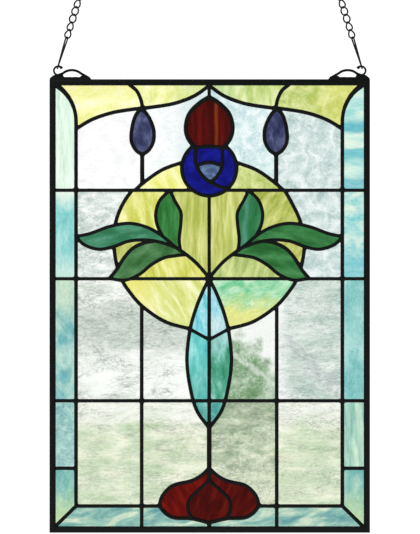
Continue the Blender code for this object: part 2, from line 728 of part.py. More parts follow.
def hanger_seat(side):
    """The block of solder on top of the frame that holds a hanger's wire, sloped at both ends, and
    higher under the curl and round the wire's foot."""
    foot, top = PANEL_HEIGHT + FIT_GAP, PANEL_HEIGHT + SEAT_HEIGHT
    slope = SEAT_LENGTH / 6
    outline = [(HALF_WIDTH - SEAT_LENGTH, foot), (HALF_WIDTH - FIT_GAP, foot),
               (HALF_WIDTH - slope / 2, top + BED_RISE), (HALF_WIDTH - BED_LENGTH, top + BED_RISE),
               (HALF_WIDTH - BED_LENGTH - SEAT_STEP, top),
               (HALF_WIDTH - SEAT_LENGTH + BANK_LENGTH + SEAT_STEP, top),
               (HALF_WIDTH - SEAT_LENGTH + BANK_LENGTH, top + BANK_RISE),
               (HALF_WIDTH - SEAT_LENGTH + slope, top + BANK_RISE)]
    shape = bmesh.new()
    base = [shape.verts.new((side * x, -SEAT_DEPTH / 2, z)) for x, z in outline]
    pulled(shape, [shape.faces.new(base)], SEAT_DEPTH)
    return shape


def link_path(twist):
    """The middle line of one oval link that stands on the origin's Z axis, turned at its ends."""
    half_long, half_wide = (LINK_LENGTH - CHAIN_WIRE) / 2, (LINK_WIDTH - CHAIN_WIRE) / 2
    path = []
    for step in range(LINK_STEPS):
        angle = 2 * math.pi * step / LINK_STEPS
        x, z = half_wide * math.sin(angle), half_long * math.cos(angle)
        heading = twist * math.cos(angle)
        path.append(Vector((x * math.cos(heading), x * math.sin(heading), z)))
    return path


def long_link_path(side):
    """The middle line of the long link, with straight sides and round ends, turned and twisted about
    its length."""
    bend = (LONG_LINK_WIDTH - CHAIN_WIRE) / 2
    straight = (LONG_LINK_LENGTH - LONG_LINK_WIDTH) / 2
    path = []
    for end in (1, -1):
        for step in range(5):
            angle = math.pi * step / 4
            turn = side * (LONG_LINK_TURN - end * LONG_LINK_TWIST)
            point = Vector((end * bend * math.cos(angle), 0, end * (straight + bend * math.sin(angle))))
            path.append(Matrix.Rotation(turn, 3, "Z") @ point)
    return path


def ring_path(steps=12):
    """The middle line of the round end ring, which faces the viewer."""
    turns = (2 * math.pi * step / steps for step in range(steps))
    return [END_RING_RADIUS * Vector((math.sin(turn), 0, math.cos(turn))) for turn in turns]


def chain_stations():
    """How far along the chain, from beside the middle of the hanger's curl, each piece has its middle."""
    room = CURL_RADIUS - (CURL_WIRE + CHAIN_WIRE) / 2 - FIT_GAP
    long_foot = CHAIN_SLIP * math.sin(CHAIN_LEAN) + math.sqrt(
        room ** 2 - (CHAIN_SLIP * math.cos(CHAIN_LEAN)) ** 2)
    long_reach = LONG_LINK_LENGTH - CHAIN_WIRE
    link_reach = LINK_LENGTH - CHAIN_WIRE
    overlap = CHAIN_WIRE - LINK_BITE
    long_middle = long_foot + long_reach / 2
    first = long_foot + long_reach - overlap + link_reach / 2
    links = [first + index * (link_reach - overlap) for index in range(LINK_COUNT)]
    ring_foot = links[-1] + link_reach / 2 - (CHAIN_WIRE + END_RING_WIRE) / 2 + LINK_BITE
    return long_middle, links, ring_foot + END_RING_RADIUS


def hang_height():
    """The height of the end rings over the panel's bottom edge."""
    return CURL_CENTRE.y + chain_stations()[2] * math.cos(CHAIN_LEAN)


def chain(side, name, parent):
    """One chain: the long link, the twisted links and the end ring, joined where they touch. The exact
    solver loses links that pass through one another, so the manifold one joins them."""
    long_middle, links, ring_middle = chain_stations()
    lean = Matrix.Rotation(-side * CHAIN_LEAN, 4, "Y")
    start = Matrix.Translation((side * (CURL_CENTRE.x + CHAIN_SLIP), 0, CURL_CENTRE.y))

    def stand(path, along, radius):
        move = start @ lean @ Matrix.Translation((0, 0, along))
        return tube([move @ point for point in path], [radius] * len(path), closed=True)

    wire = CHAIN_WIRE / 2
    shape = stand(long_link_path(side), long_middle, wire)
    base = add_object(f"chain_{name}", shape, "blackened_wire", parent)
    others = []
    for index, along in enumerate(links):
        shape = stand(link_path(side * LINK_TWIST), along, wire)
        others.append(helper(f"link_{name}_{index + 1}", shape, "blackened_wire", parent))
    shape = stand(ring_path(), ring_middle, END_RING_WIRE / 2)
    others.append(helper(f"end_ring_{name}", shape, "blackened_wire", parent))
    join(base, others, solver="MANIFOLD")


def main():
    for old in list(bpy.data.objects):
        bpy.data.objects.remove(old)
    panel = bpy.data.objects.new("panel_foot", None)
    panel.location = (0, 0, -hang_height())
    bpy.context.scene.collection.objects.link(panel)
    lines, figures = draw_pattern()
    channel_frame(panel)
    solder_network(lines, figures, panel)
    glass_panes(lines, figures, panel)
    for side, name in ((-1, "left"), (1, "right")):
        hanger = add_object(f"hanger_{name}", hanger_seat(side), "blackened_wire", panel)
        join(hanger, [helper(f"hanger_wire_{name}", hanger_wire(side), "blackened_wire", panel)])
        chain(side, name, panel)


if __name__ == "__main__":
    main()
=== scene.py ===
"""A stained glass hanging panel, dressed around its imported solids.

A floral pattern of coloured glass in soldered lines, a blackened channel frame, two bent wire hangers
and two lengths of twisted chain. X runs to the right, Y away from the viewer and Z up, in metres. The
origin is midway between the top rings of the two chains, where the panel hangs.
"""

import json
import logging
import math
from collections import defaultdict
from collections.abc import Sequence
from dataclasses import dataclass, field
from enum import Enum, IntEnum
from functools import partial
from typing import Optional

import bmesh
import bpy
from mathutils import Matrix, Vector, noise
from mathutils.geometry import delaunay_2d_cdt, intersect_point_tri_2d
from mathutils.kdtree import KDTree

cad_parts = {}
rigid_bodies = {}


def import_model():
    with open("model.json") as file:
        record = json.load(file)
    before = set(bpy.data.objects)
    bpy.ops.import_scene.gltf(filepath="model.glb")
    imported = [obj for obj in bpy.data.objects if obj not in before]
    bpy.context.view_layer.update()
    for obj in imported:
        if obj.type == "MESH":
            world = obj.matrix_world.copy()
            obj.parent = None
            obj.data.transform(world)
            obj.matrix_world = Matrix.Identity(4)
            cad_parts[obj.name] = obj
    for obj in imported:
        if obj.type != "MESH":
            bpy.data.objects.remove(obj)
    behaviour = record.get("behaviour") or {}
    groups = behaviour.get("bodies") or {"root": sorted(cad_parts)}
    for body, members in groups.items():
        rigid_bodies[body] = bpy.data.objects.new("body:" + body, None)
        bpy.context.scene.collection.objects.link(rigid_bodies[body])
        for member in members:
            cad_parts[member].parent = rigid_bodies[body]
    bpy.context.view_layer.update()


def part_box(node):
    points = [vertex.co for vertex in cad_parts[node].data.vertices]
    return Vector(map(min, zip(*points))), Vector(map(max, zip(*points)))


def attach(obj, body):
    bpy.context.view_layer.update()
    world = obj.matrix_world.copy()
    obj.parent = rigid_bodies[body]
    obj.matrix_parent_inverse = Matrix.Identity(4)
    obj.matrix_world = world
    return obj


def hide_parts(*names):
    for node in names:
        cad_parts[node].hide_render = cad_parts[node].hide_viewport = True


LOG = logging.getLogger("panel")

BODY = "root"
MERGE = 0.000005
WELD = 0.00003
MM = 0.001
OUTLINE_SPACING = 1.4 * MM

Colour = tuple[float, float, float]
Knot = tuple[float, float]
Points = list[Vector]
Triangles = list[list[int]]
Shape = bmesh.types.BMesh
Paint = bpy.types.Material


class Slot(Enum):
    """The material slots of the record."""

    PATINA = "black_patina"
    WIRE = "blackened_wire"
    AQUA = "aqua_glass"
    YELLOW = "yellow_glass"
    LIME = "lime_glass"
    CLEAR = "clear_glass"
    VIOLET = "violet_glass"
    RED = "red_glass"
    COBALT = "cobalt_glass"
    SLATE = "slate_glass"
    GREEN = "green_glass"
    TURQUOISE = "turquoise_glass"


class Layer(IntEnum):
    """Layers of the drawing: a line is hidden inside any figure that lies on a higher layer."""

    GROUND = 0
    FIGURE = 1
    TOP = 2
    OVERLAY = 3


class Side(Enum):
    """The two halves of the panel, as seen from the front."""

    LEFT = -1
    RIGHT = 1


def linear(colour: Colour) -> tuple[float, float, float, float]:
    """A colour as a viewer names it, from 0 to 255, as the light that a shader works in.

    Args:
        colour: Red, green and blue.

    Returns:
        The same colour as linear light, with full opacity.
    """
    shares = (part / 255 for part in colour)
    light = [s / 12.92 if s <= 0.04045 else ((s + 0.055) / 1.055) ** 2.4 for s in shares]
    return (light[0], light[1], light[2], 1.0)


class NodeSheet:
    """The nodes of a material or of the world, which are added one after another."""

    def __init__(self, owner: Paint | bpy.types.World) -> None:
        """Turn the owner's nodes on."""
        owner.use_nodes = True
        self.tree = owner.node_tree

    def add(self, kind: str, settings: Optional[dict] = None, **inputs: object) -> bpy.types.Node:
        """Add a node.

        Args:
            kind: The node's type without its prefix, such as TexNoise.
            settings: Values of the node itself.
            inputs: Values or output sockets for its inputs, with _ for each space in a name.

        Returns:
            The new node.
        """
        node = self.tree.nodes.new("ShaderNode" + kind)
        for name, value in (settings or {}).items():
            setattr(node, name, value)
        for name, value in inputs.items():
            self.set(node.inputs[name.replace("_", " ")], value)
        return node

    def set(self, socket: bpy.types.NodeSocket, value: object) -> None:
        """Link an output to a socket, or set the socket's own value.

        Args:
            socket: The input to fill.
            value: A number, a colour, a vector or another node's output.
        """
        if isinstance(value, bpy.types.NodeSocket):
            self.tree.links.new(value, socket)
        else:
            socket.default_value = value

    def shade(self, **inputs: object) -> None:
        """Fill inputs of the shader, with _ for each space in a name."""
        for name, value in inputs.items():
            self.set(self.tree.nodes["Principled BSDF"].inputs[name.replace("_", " ")], value)

    def place(self, stretch: Knot = (1.0, 1.0), turn: float = 0.0, start: Knot = (0.0, 0.0)) -> object:
        """Where a point lies on the piece, turned and stretched in the plane of the glass.

        Args:
            stretch: How much longer the pattern is across and up than it is deep.
            turn: Degrees by which the pattern is turned.
            start: Where the pattern starts, in metres.

        Returns:
            The output socket that holds the place.
        """
        here = self.add("TexCoord").outputs["Object"]
        turned = self.add("Mapping", Vector=here, Rotation=(0.0, math.radians(turn), 0.0),
                          Location=(start[0], 0.0, start[1]))
        return self.add("Mapping", Vector=turned.outputs[0],
                        Scale=(1 / stretch[0], 1.0, 1 / stretch[1])).outputs[0]

    def clouds(self, where: object, size: float, detail: float = 3.0, rough: float = 0.55,
               twist: float = 0.0) -> object:
        """Soft clouds of a size in metres, from 0 to 1, with finer sizes over them as rough and twisted."""
        return self.add("TexNoise", Vector=where, Scale=1 / size, Detail=detail, Roughness=rough,
                        Distortion=twist).outputs[0]

    def ramp(self, value: object, stops: Sequence[tuple[float, Colour]]) -> object:
        """Colours along a value.

        Args:
            value: The socket to read.
            stops: Pairs of a place from 0 to 1 and a colour.

        Returns:
            The output socket that holds the colour.
        """
        node = self.add("ValToRGB", Fac=value)
        band = node.color_ramp
        while len(band.elements) < len(stops):
            band.elements.new(0.5)
        for element, (place, colour) in zip(band.elements, stops):
            element.position = place
            element.color = linear(colour)
        return node.outputs[0]

    def span(self, value: object, low: float, high: float, least: float = 0.0, most: float = 1.0) -> object:
        """A value stretched from the range low to high to the range least to most, and held there."""
        node = self.add("MapRange", Value=value, From_Min=low, From_Max=high, To_Min=least, To_Max=most)
        return node.outputs[0]

    def mix(self, share: object, under: object, over: object, how: str = "MIX") -> object:
        """One colour laid over another.

        Args:
            share: How much of the upper colour shows, as a number or a socket.
            under: The lower colour.
            over: The upper colour.
            how: How the two are blended.

        Returns:
            The output socket that holds the blend.
        """
        node = self.add("Mix", {"data_type": "RGBA", "blend_type": how})
        for index, value in ((0, share), (6, under), (7, over)):
            self.set(node.inputs[index], value)
        return node.outputs[2]

    def maths(self, how: str, first: object, second: object = 0.0) -> object:
        """A sum of two values.

        Args:
            how: The operation.
            first: A number or a socket.
            second: The same, for an operation that has two.

        Returns:
            The output socket that holds the result.
        """
        node = self.add("Math", {"operation": how})
        for socket, value in zip(node.inputs, (first, second)):
            self.set(socket, value)
        return node.outputs[0]

    def bump(self, height: object, depth: float, strength: float) -> None:
        """Give the surface fine relief of a depth in metres."""
        node = self.add("Bump", Height=height, Distance=depth, Strength=strength)
        self.shade(Normal=node.outputs[0])


@dataclass(frozen=True)
class PatinaFinish:
    """Solder or zinc under a black patina: a little brighter where hands have rubbed it."""

    name: str
    slot: Slot
    dark: Colour = (13, 17, 17)
    worn: Colour = (34, 38, 38)
    roughness: float = 0.5
    gloss: float = 0.2
    patch_size: float = 9 * MM
    grain_size: float = 0.9 * MM
    grain_share: float = 0.35
    relief: float = 0.15 * MM

    def material(self) -> Paint:
        """The finish as a material, made on first use."""
        if self.name in bpy.data.materials:
            return bpy.data.materials[self.name]
        made = bpy.data.materials.new(self.name)
        sheet = NodeSheet(made)
        where = sheet.place()
        patches = sheet.clouds(where, self.patch_size, detail=5.0, rough=0.6)
        grain = sheet.clouds(where, self.grain_size, detail=2.0)
        tone = sheet.ramp(patches, [(0.35, self.dark), (0.62, self.dark), (0.80, self.worn)])
        specks = sheet.ramp(grain, [(0.3, (8, 10, 10)), (0.8, (30, 33, 33))])
        sheet.shade(
            Base_Color=sheet.mix(self.grain_share, tone, specks),
            Roughness=sheet.span(patches, 0.3, 0.8, self.roughness - 0.1, self.roughness + 0.12),
            Specular_IOR_Level=self.gloss,
        )
        sheet.bump(sheet.mix(0.5, patches, grain), self.relief, 0.5)
        return made


@dataclass(frozen=True)
class Wash:
    """A second colour that comes in across a sheet of glass.

    The wash grows from its start to its end, in metres from the panel's middle foot, and fades again
    beyond its stop. It grows upwards, or to the right where its tilt in degrees is 90.
    """

    colour: Colour
    start: float
    end: float
    tilt: float = 0.0
    stop: Optional[float] = None
    strength: float = 1.0
    ragged: float = 0.012


@dataclass(frozen=True)
class GlassFinish:
    """One kind of sheet glass: its tones, the way its streaks run, its flecks and its ripples, with glints
    and refraction painted into its colour.
    """

    name: str
    tones: tuple[Colour, ...]
    slot: Slot
    cloud: float = 14 * MM
    stretch: Knot = (1.0, 1.0)
    turn: float = 0.0
    twist: float = 0.4
    detail: float = 5.0
    # The fleck and vein layers are painted refraction: flecks and curly lines of colour that stand for the
    # surroundings seen bent through rippled glass.
    fleck: Colour = (150, 160, 155)
    fleck_share: float = 0.0
    fleck_size: float = 1.6 * MM
    fleck_stretch: Knot = (1.0, 1.0)
    fleck_patch: float = 18 * MM
    fleck_edge: Knot = (0.48, 0.66)
    fleck_spread: Knot = (0.42, 0.60)
    patch_start: Knot = (0.31, 0.17)
    washes: tuple[Wash, ...] = ()
    # grain sets how strongly the painted glints and darks show: fine light and dark streaks that stand for
    # the light a hammered surface bends
    grain: float = 0.55
    grain_size: float = 2.4 * MM
    ripple: float = 2.5 * MM
    ripple_strength: float = 0.25
    vein: Colour = (150, 160, 155)
    vein_share: float = 0.0
    vein_size: float = 9 * MM
    vein_stretch: Knot = (1.0, 1.0)
    vein_edge: Knot = (0.004, 0.030)
    vein_spread: Knot = (0.36, 0.56)
    vein_start: Knot = (0.13, 0.41)
    tone_span: Knot = (0.37, 0.26)
    # The greys of the painted glints and darks: below middle grey darkens the glass, above it brightens it.
    glint_stops: tuple[tuple[float, Colour], ...] = ((0.36, (110, 110, 110)), (0.50, (188, 188, 188)),
                                                     (0.64, (238, 238, 238)))
    ior: float = 1.3
    relief: float = 0.4 * MM
    shine: float = 0.35
    roughness: float = 0.06
    transmission: float = 0.95

    def material(self, foot: float) -> Paint:
        """The finish as a material, made on first use.

        Args:
            foot: The height of the panel's foot.

        Returns:
            The material.
        """
        if self.name in bpy.data.materials:
            return bpy.data.materials[self.name]
        made = bpy.data.materials.new(self.name)
        sheet = NodeSheet(made)
        where = sheet.place(self.stretch, self.turn)
        clouds = sheet.clouds(where, self.cloud, detail=self.detail, twist=self.twist)
        steps, (low, spread) = len(self.tones) - 1, self.tone_span
        stops = [(low + spread * index / steps, tone) for index, tone in enumerate(self.tones)]
        colour = sheet.ramp(clouds, stops)
        for wash in self.washes:
            colour = sheet.mix(self.wash_share(sheet, wash, foot), colour, linear(wash.colour))
        # Painted refraction: flecks and curly lines that stand for the surroundings seen bent through the
        # ripples.
        if self.fleck_share:
            colour = sheet.mix(self.fleck_cover(sheet), colour, linear(self.fleck))
        if self.vein_share:
            colour = sheet.mix(self.vein_cover(sheet), colour, linear(self.vein))
        # Painted glints and darks: fine clouds brighten and darken the colour where a hammered surface would
        # bend the light into streaks.
        fine = sheet.clouds(where, self.grain_size, detail=5.0, rough=0.7, twist=0.6)
        colour = sheet.mix(self.grain, colour, sheet.ramp(fine, self.glint_stops), "SOFT_LIGHT")
        sheet.shade(
            Base_Color=colour,
            Roughness=self.roughness,
            IOR=self.ior,
            Specular_IOR_Level=self.shine,
            Transmission_Weight=self.transmission,
        )
        sheet.bump(sheet.clouds(where, self.ripple, detail=2.0), self.relief, self.ripple_strength)
        return made

    def wash_share(self, sheet: NodeSheet, wash: Wash, foot: float) -> object:
        """How much of a wash shows, with a ragged edge.

        Args:
            sheet: The material being made.
            wash: The wash.
            foot: The height of the panel's foot.

        Returns:
            The output socket that holds the share.
        """
        tilt = math.radians(wash.tilt)
        along = sheet.add("VectorMath", {"operation": "DOT_PRODUCT"})
        sheet.set(along.inputs[0], sheet.add("TexCoord").outputs["Object"])
        sheet.set(along.inputs[1], (math.sin(tilt), 0.0, math.cos(tilt)))
        base = foot * math.cos(tilt)
        edge = sheet.span(sheet.clouds(sheet.place(self.stretch, self.turn), self.cloud), 0.25, 0.75,
                          -wash.ragged, wash.ragged)
        moved = sheet.maths("ADD", along.outputs["Value"], edge)
        share = sheet.span(moved, base + wash.start, base + wash.end, 0.0, wash.strength)
        if wash.stop is None:
            return share
        fade = base + wash.stop
        return sheet.maths("MULTIPLY", share,
                           sheet.span(moved, fade, fade + wash.end - wash.start, 1.0, 0.0))

    def vein_cover(self, sheet: NodeSheet) -> object:
        """Where the curly lines of rolled water glass show, painted as refraction: colour that stands for the
        surroundings seen bent through the glass, along one height of a twisted cloud.

        Args:
            sheet: The material being made.

        Returns:
            The output socket that holds the share.
        """
        where = sheet.place(self.vein_stretch, self.turn, self.vein_start)
        clouds = sheet.clouds(where, self.vein_size, detail=2.5, rough=0.5, twist=0.8)
        off = sheet.maths("ABSOLUTE", sheet.maths("SUBTRACT", clouds, 0.5))
        return sheet.maths("MULTIPLY", sheet.span(off, *self.vein_edge, 1.0, 0.0),
                           sheet.span(self.patches(sheet), *self.vein_spread, 0.0, self.vein_share))

    def fleck_cover(self, sheet: NodeSheet) -> object:
        """Where the flecks show, painted as refraction of the surroundings seen through rippled glass: in
        patches, and broken up finely.

        Args:
            sheet: The material being made.

        Returns:
            The output socket that holds the share.
        """
        fine = sheet.clouds(sheet.place(self.fleck_stretch, self.turn), self.fleck_size, detail=4.0,
                            rough=0.7, twist=0.8)
        return sheet.maths("MULTIPLY", sheet.span(fine, *self.fleck_edge),
                           sheet.span(self.patches(sheet), *self.fleck_spread, 0.0, self.fleck_share))

    def patches(self, sheet: NodeSheet) -> object:
        """The patches that flecks and curly lines keep to."""
        where = sheet.place(self.stretch, self.turn, self.patch_start)
        return sheet.clouds(where, self.fleck_patch, detail=3.0, twist=1.2)


@dataclass
class LeadLine:
    """One soldered line: its middle, its width, and what it passes under."""

    points: Points
    width: float
    layer: Layer = Layer.GROUND
    within: str = ""


@dataclass
class Figure:
    """The closed area of a leaf, bud or bloom, which hides the ground lines behind it."""

    name: str
    outline: Points
    layer: Layer = Layer.FIGURE


@dataclass
class Grid:
    """The straight lines that the pattern hangs on, with heights from the panel's foot."""

    width: float = 0.359
    frame_face: float = 0.0067
    side_border: float = 0.0235
    bottom_border: float = 0.0230
    fields: tuple[float, ...] = (0.1180, 0.1368, 0.0992, 0.1176)
    shift: float = -0.0006
    rows: list[float] = field(init=False)

    def __post_init__(self) -> None:
        """Add up the heights of the bars."""
        self.rows = [self.frame_face, self.frame_face + self.bottom_border]
        for height in self.fields:
            self.rows.append(self.rows[-1] + height)

    @property
    def height(self) -> float:
        """The panel's height over the frame."""
        return self.rows[-1] + self.frame_face

    @property
    def border_x(self) -> float:
        """How far the border lines stand from the middle."""
        return self.width / 2 - self.frame_face - self.side_border

    @property
    def edge_across(self) -> float:
        """The panel's outer side, as a share of the grid."""
        return 2 + self.frame_face / self.side_border

    @property
    def edge_down(self) -> float:
        """The panel's foot, as a share of the grid."""
        return -self.frame_face / self.bottom_border

    @property
    def edge_up(self) -> float:
        """The panel's top, as a share of the grid."""
        return 5 + self.frame_face / self.fields[-1]

    def place(self, across: float, up: float) -> Vector:
        """A point given as shares of the grid.

        Args:
            across: 0 is the middle, 1 the border line and 2 the frame.
            up: 0 is the frame, 1 the bottom border line, 2, 3 and 4 the bars, and 5 the frame.

        Returns:
            The point, across and up, in metres.
        """
        reach = abs(across)
        x = reach * self.border_x if reach <= 1 else self.border_x + (reach - 1) * self.side_border
        row = min(max(int(math.floor(up)), 0), len(self.rows) - 2)
        z = self.rows[row] + (up - row) * (self.rows[row + 1] - self.rows[row])
        return Vector((math.copysign(x, across) + self.shift, z))

    def rectangle(self, inset: float) -> Points:
        """The corners of a rectangle that lies inside the panel's outer edge by the inset."""
        x, low, high = self.width / 2 - inset, inset, self.height - inset
        return [Vector((-x, low)), Vector((x, low)), Vector((x, high)), Vector((-x, high))]


def smooth(knots: Points, steps: int = 16) -> Points:
    """A smooth curve through the knots.

    Args:
        knots: The points that it passes through.
        steps: How many points it has between two knots.

    Returns:
        The curve's points.
    """
    if len(knots) == 2:
        return list(knots)
    ends = [2 * knots[0] - knots[1], *knots, 2 * knots[-1] - knots[-2]]
    curve = [knots[0]]
    for before, start, end, after in zip(ends, ends[1:], ends[2:], ends[3:]):
        times = [0.0]
        for a, b in ((before, start), (start, end), (end, after)):
            times.append(times[-1] + math.sqrt((b - a).length))
        first, second, third = times[1], times[2], times[3]
        for step in range(1, steps + 1):
            t = first + (second - first) * step / steps
            a1 = before.lerp(start, t / first)
            a2 = start.lerp(end, (t - first) / (second - first))
            a3 = end.lerp(after, (t - second) / (third - second))
            b1 = a1.lerp(a2, t / second)
            b2 = a2.lerp(a3, (t - first) / (third - first))
            curve.append(b1.lerp(b2, (t - first) / (second - first)))
    return curve


def arc(centre: Vector, radius: float, start: float, end: float, steps: int = 96) -> Points:
    """Points round part of a circle, from one angle in radians to another."""
    turns = (start + (end - start) * step / steps for step in range(steps + 1))
    return [centre + radius * Vector((math.cos(turn), math.sin(turn))) for turn in turns]


def evenly(points: Points, spacing: float) -> Points:
    """The same line with its points at even distances.

    Args:
        points: The line.
        spacing: About how far apart the points shall be.

    Returns:
        The new points, with both ends kept.
    """
    reach = [0.0]
    for a, b in zip(points, points[1:]):
        reach.append(reach[-1] + (b - a).length)
    count = max(1, round(reach[-1] / spacing))
    made, at = [], 0
    for step in range(count + 1):
        want = reach[-1] * step / count
        while at < len(points) - 2 and reach[at + 1] < want:
            at += 1
        gap = reach[at + 1] - reach[at]
        made.append(points[at].lerp(points[at + 1], (want - reach[at]) / gap if gap else 0.0))
    return made


def is_closed(points: Points) -> bool:
    """Whether a line ends where it starts."""
    return (points[0] - points[-1]).length < MERGE


def sideways(points: Points) -> Points:
    """The mitred sideways direction of a line at each of its points.

    Args:
        points: The line.

    Returns:
        One vector for each point, about one long.
    """
    runs = [(b - a).normalized() for a, b in zip(points, points[1:])]
    closed = is_closed(points)
    before = [runs[-1] if closed else runs[0], *runs]
    after = [*runs, runs[0] if closed else runs[-1]]
    made = []
    for a, b in zip(before, after):
        middle = (a + b).normalized()
        made.append(Vector((-middle.y, middle.x)) / max(middle.dot(b), 0.5))
    return made


@dataclass
class Pattern:
    """The drawing that the panel is made to: every line, and the figures that hide those behind them."""

    grid: Grid
    line: float = 0.0041
    fine: float = 0.0038
    stout: float = 0.0048
    trunk: float = 0.0054
    ring_radius: float = 0.0308
    corner: float = 0.0060
    corner_fill: tuple[int, ...] = (18, 12, 8, 5)
    corner_radius: float = 0.0480
    border_break: float = 0.0423
    lines: list[LeadLine] = field(default_factory=list)
    figures: list[Figure] = field(default_factory=list)

    def __post_init__(self) -> None:
        """Draw both halves and the middle."""
        for side in Side:
            self.draw_side(side)
            self.draw_leaves(side)
        self.draw_middle()

    def curve(self, *knots: Knot, side: Side = Side.RIGHT) -> Points:
        """A smooth curve through knots given as shares of the grid, as drawn on the right half."""
        return smooth([self.grid.place(side.value * across, up) for across, up in knots])

    def add(self, points: Points, width: float, layer: Layer = Layer.GROUND, within: str = "") -> None:
        """Add one line to the drawing."""
        self.lines.append(LeadLine(points, width, layer, within))

    def corner_line(self, side: Side) -> Points:
        """A border line from the bottom border up, bending into the top corner of the frame.

        Args:
            side: The half that it belongs to.

        Returns:
            The line's points.
        """
        grid = self.grid
        centre = Vector((grid.border_x + self.corner_radius, grid.place(1, 4.657).y))
        turn = math.acos(1 - grid.side_border / self.corner_radius)
        bend = arc(centre, self.corner_radius, math.pi, math.pi - turn, 24)
        last = bend[-1] + (bend[-1] - bend[-2]).normalized() * grid.frame_face
        points = [Vector((grid.border_x, grid.rows[1])), *bend, last]
        return [Vector((side.value * point.x + grid.shift, point.y)) for point in points]

    def draw_side(self, side: Side) -> None:
        """Everything that one half of the pattern repeats in the other, but for the leaves.

        Args:
            side: The half to draw.
        """
        grid, sign = self.grid, side.value
        shoulder = {
            Side.LEFT: ((0.580, 4), (0.646, 3.853), (0.700, 3.650)),
            Side.RIGHT: ((0.566, 4), (0.622, 3.853), (0.684, 3.650)),
        }[side]
        bud_outer = self.curve((0.508, 4.781), (0.550, 4.719), (0.581, 4.585), (0.583, 4.460),
                               (0.546, 4.376), (0.502, 4.340), side=side)
        bud_inner = self.curve((0.508, 4.781), (0.464, 4.719), (0.418, 4.585), (0.420, 4.460),
                               (0.458, 4.377), (0.502, 4.340), side=side)
        self.figures.append(Figure(f"bud_{side.name}", bud_outer + bud_inner[::-1][1:-1]))
        self.add(bud_outer, self.line, Layer.FIGURE)
        self.add(bud_inner, self.line, Layer.FIGURE)
        self.add(self.curve((0.503, 4.36), (0.503, 4.062), side=side), self.stout)
        plain = (
            ((1, 4.585), (0.882, 4.673), (0.732, 4.738), (0.582, 4.771), (0.432, 4.792), (0.263, 4.828),
             (0.113, 4.899), (0, 4.997)),
            ((0.640, grid.edge_up), (0.592, 5), (0.546, 4.950), (0.515, 4.870), (0.500, 4.786)),
            ((0.203, 4.267), (0.357, 4.192), (0.503, 4.062), (0.559, 4)),
            (*shoulder, (0.715, 3.435), (0.702, 3.209), (0.661, 3), (0.593, 2.885), (0.507, 2.779),
             (0.330, 2.648), (0.135, 2.586)),
            ((0.507, 2.779), (0.507, 1)),
            ((0.507, 1), (0.507, grid.edge_down)),
        )
        for knots in plain:
            self.add(self.curve(*knots, side=side), self.line)
        corner = self.corner_line(side)
        self.add(corner, self.line)
        for share, reach in enumerate(self.corner_fill, 1):
            self.add(corner[-reach:],
                     self.line + (self.corner - self.line) * share / len(self.corner_fill))
        self.add(self.curve((1, 1), (grid.edge_across, grid.edge_down), side=side), self.line)
        self.add(self.curve((0.143, 2.586), (0, 2.5), side=side), self.fine, Layer.FIGURE, "vesica")
        for row in (2, 3, 4):
            self.add(self.curve((0, row), (1, row), side=side), self.fine)
            self.add(self.curve((1, row), (grid.edge_across, row), side=side), self.fine)
        self.add(self.curve((0, 1), (1, 1), side=side), self.fine)
        level = grid.rows[1] + self.border_break
        ends = (grid.place(reach, 1).x for reach in (sign, sign * grid.edge_across))
        self.add([Vector((x, level)) for x in ends], self.fine)

    def draw_leaves(self, side: Side) -> None:
        """The three leaves on one side and the stem that joins them.

        Args:
            side: The half to draw.
        """
        long_top = self.curve((1, 3.477), (0.897, 3.510), (0.751, 3.589), (0.601, 3.626),
                              (0.473, 3.585), (0.375, 3.507), (0.250, 3.353), side=side)
        long_foot = self.curve((1, 3.469), (0.938, 3.384), (0.826, 3.333), (0.713, 3.365),
                               (0.601, 3.426), (0.465, 3.437), (0.360, 3.410), (0.250, 3.353), side=side)
        upright_outer = self.curve((0.295, 4), (0.370, 3.887), (0.401, 3.740), (0.390, 3.605),
                                   (0.353, 3.492), (0.330, 3.440), side=side)
        upright_inner = self.curve((0.295, 4), (0.260, 3.887), (0.213, 3.751), (0.212, 3.638),
                                   (0.225, 3.435), (0.215, 3.315), side=side)
        low_top = self.curve((0.751, 3.002), (0.699, 3.096), (0.631, 3.254), (0.571, 3.347),
                             (0.495, 3.402), (0.420, 3.424), side=side)
        low_foot = self.curve((0.184, 3.272), (0.255, 3.259), (0.338, 3.236), (0.435, 3.157),
                              (0.526, 3.047), (0.631, 2.989), (0.751, 3.002), side=side)
        stem = self.curve((0.250, 3.353), (0.184, 3.286), (0.098, 3.179), (0, 3.011), side=side)
        seam = self.curve((0.360, 3.410), (0.250, 3.353), (0.184, 3.284), side=side)
        upright_seam = self.curve((0.330, 3.440), (0.250, 3.340), (0.215, 3.315), side=side)
        upright = upright_outer + upright_seam[1:] + upright_inner[::-1][1:-1]
        self.figures += [
            Figure(f"long_leaf_{side.name}", long_top + long_foot[::-1][1:-1], Layer.TOP),
            Figure(f"upright_leaf_{side.name}", upright),
            Figure(f"low_leaf_{side.name}", low_top + seam + low_foot[1:-1]),
        ]
        for points, width, layer in (
                (long_top, self.fine, Layer.TOP), (long_foot, self.fine, Layer.TOP),
                (upright_outer, self.fine, Layer.FIGURE), (upright_inner, self.fine, Layer.FIGURE),
                (low_top, self.line, Layer.FIGURE), (low_foot, self.fine, Layer.FIGURE),
                (stem, self.line, Layer.OVERLAY)):
            self.add(points, width, layer)

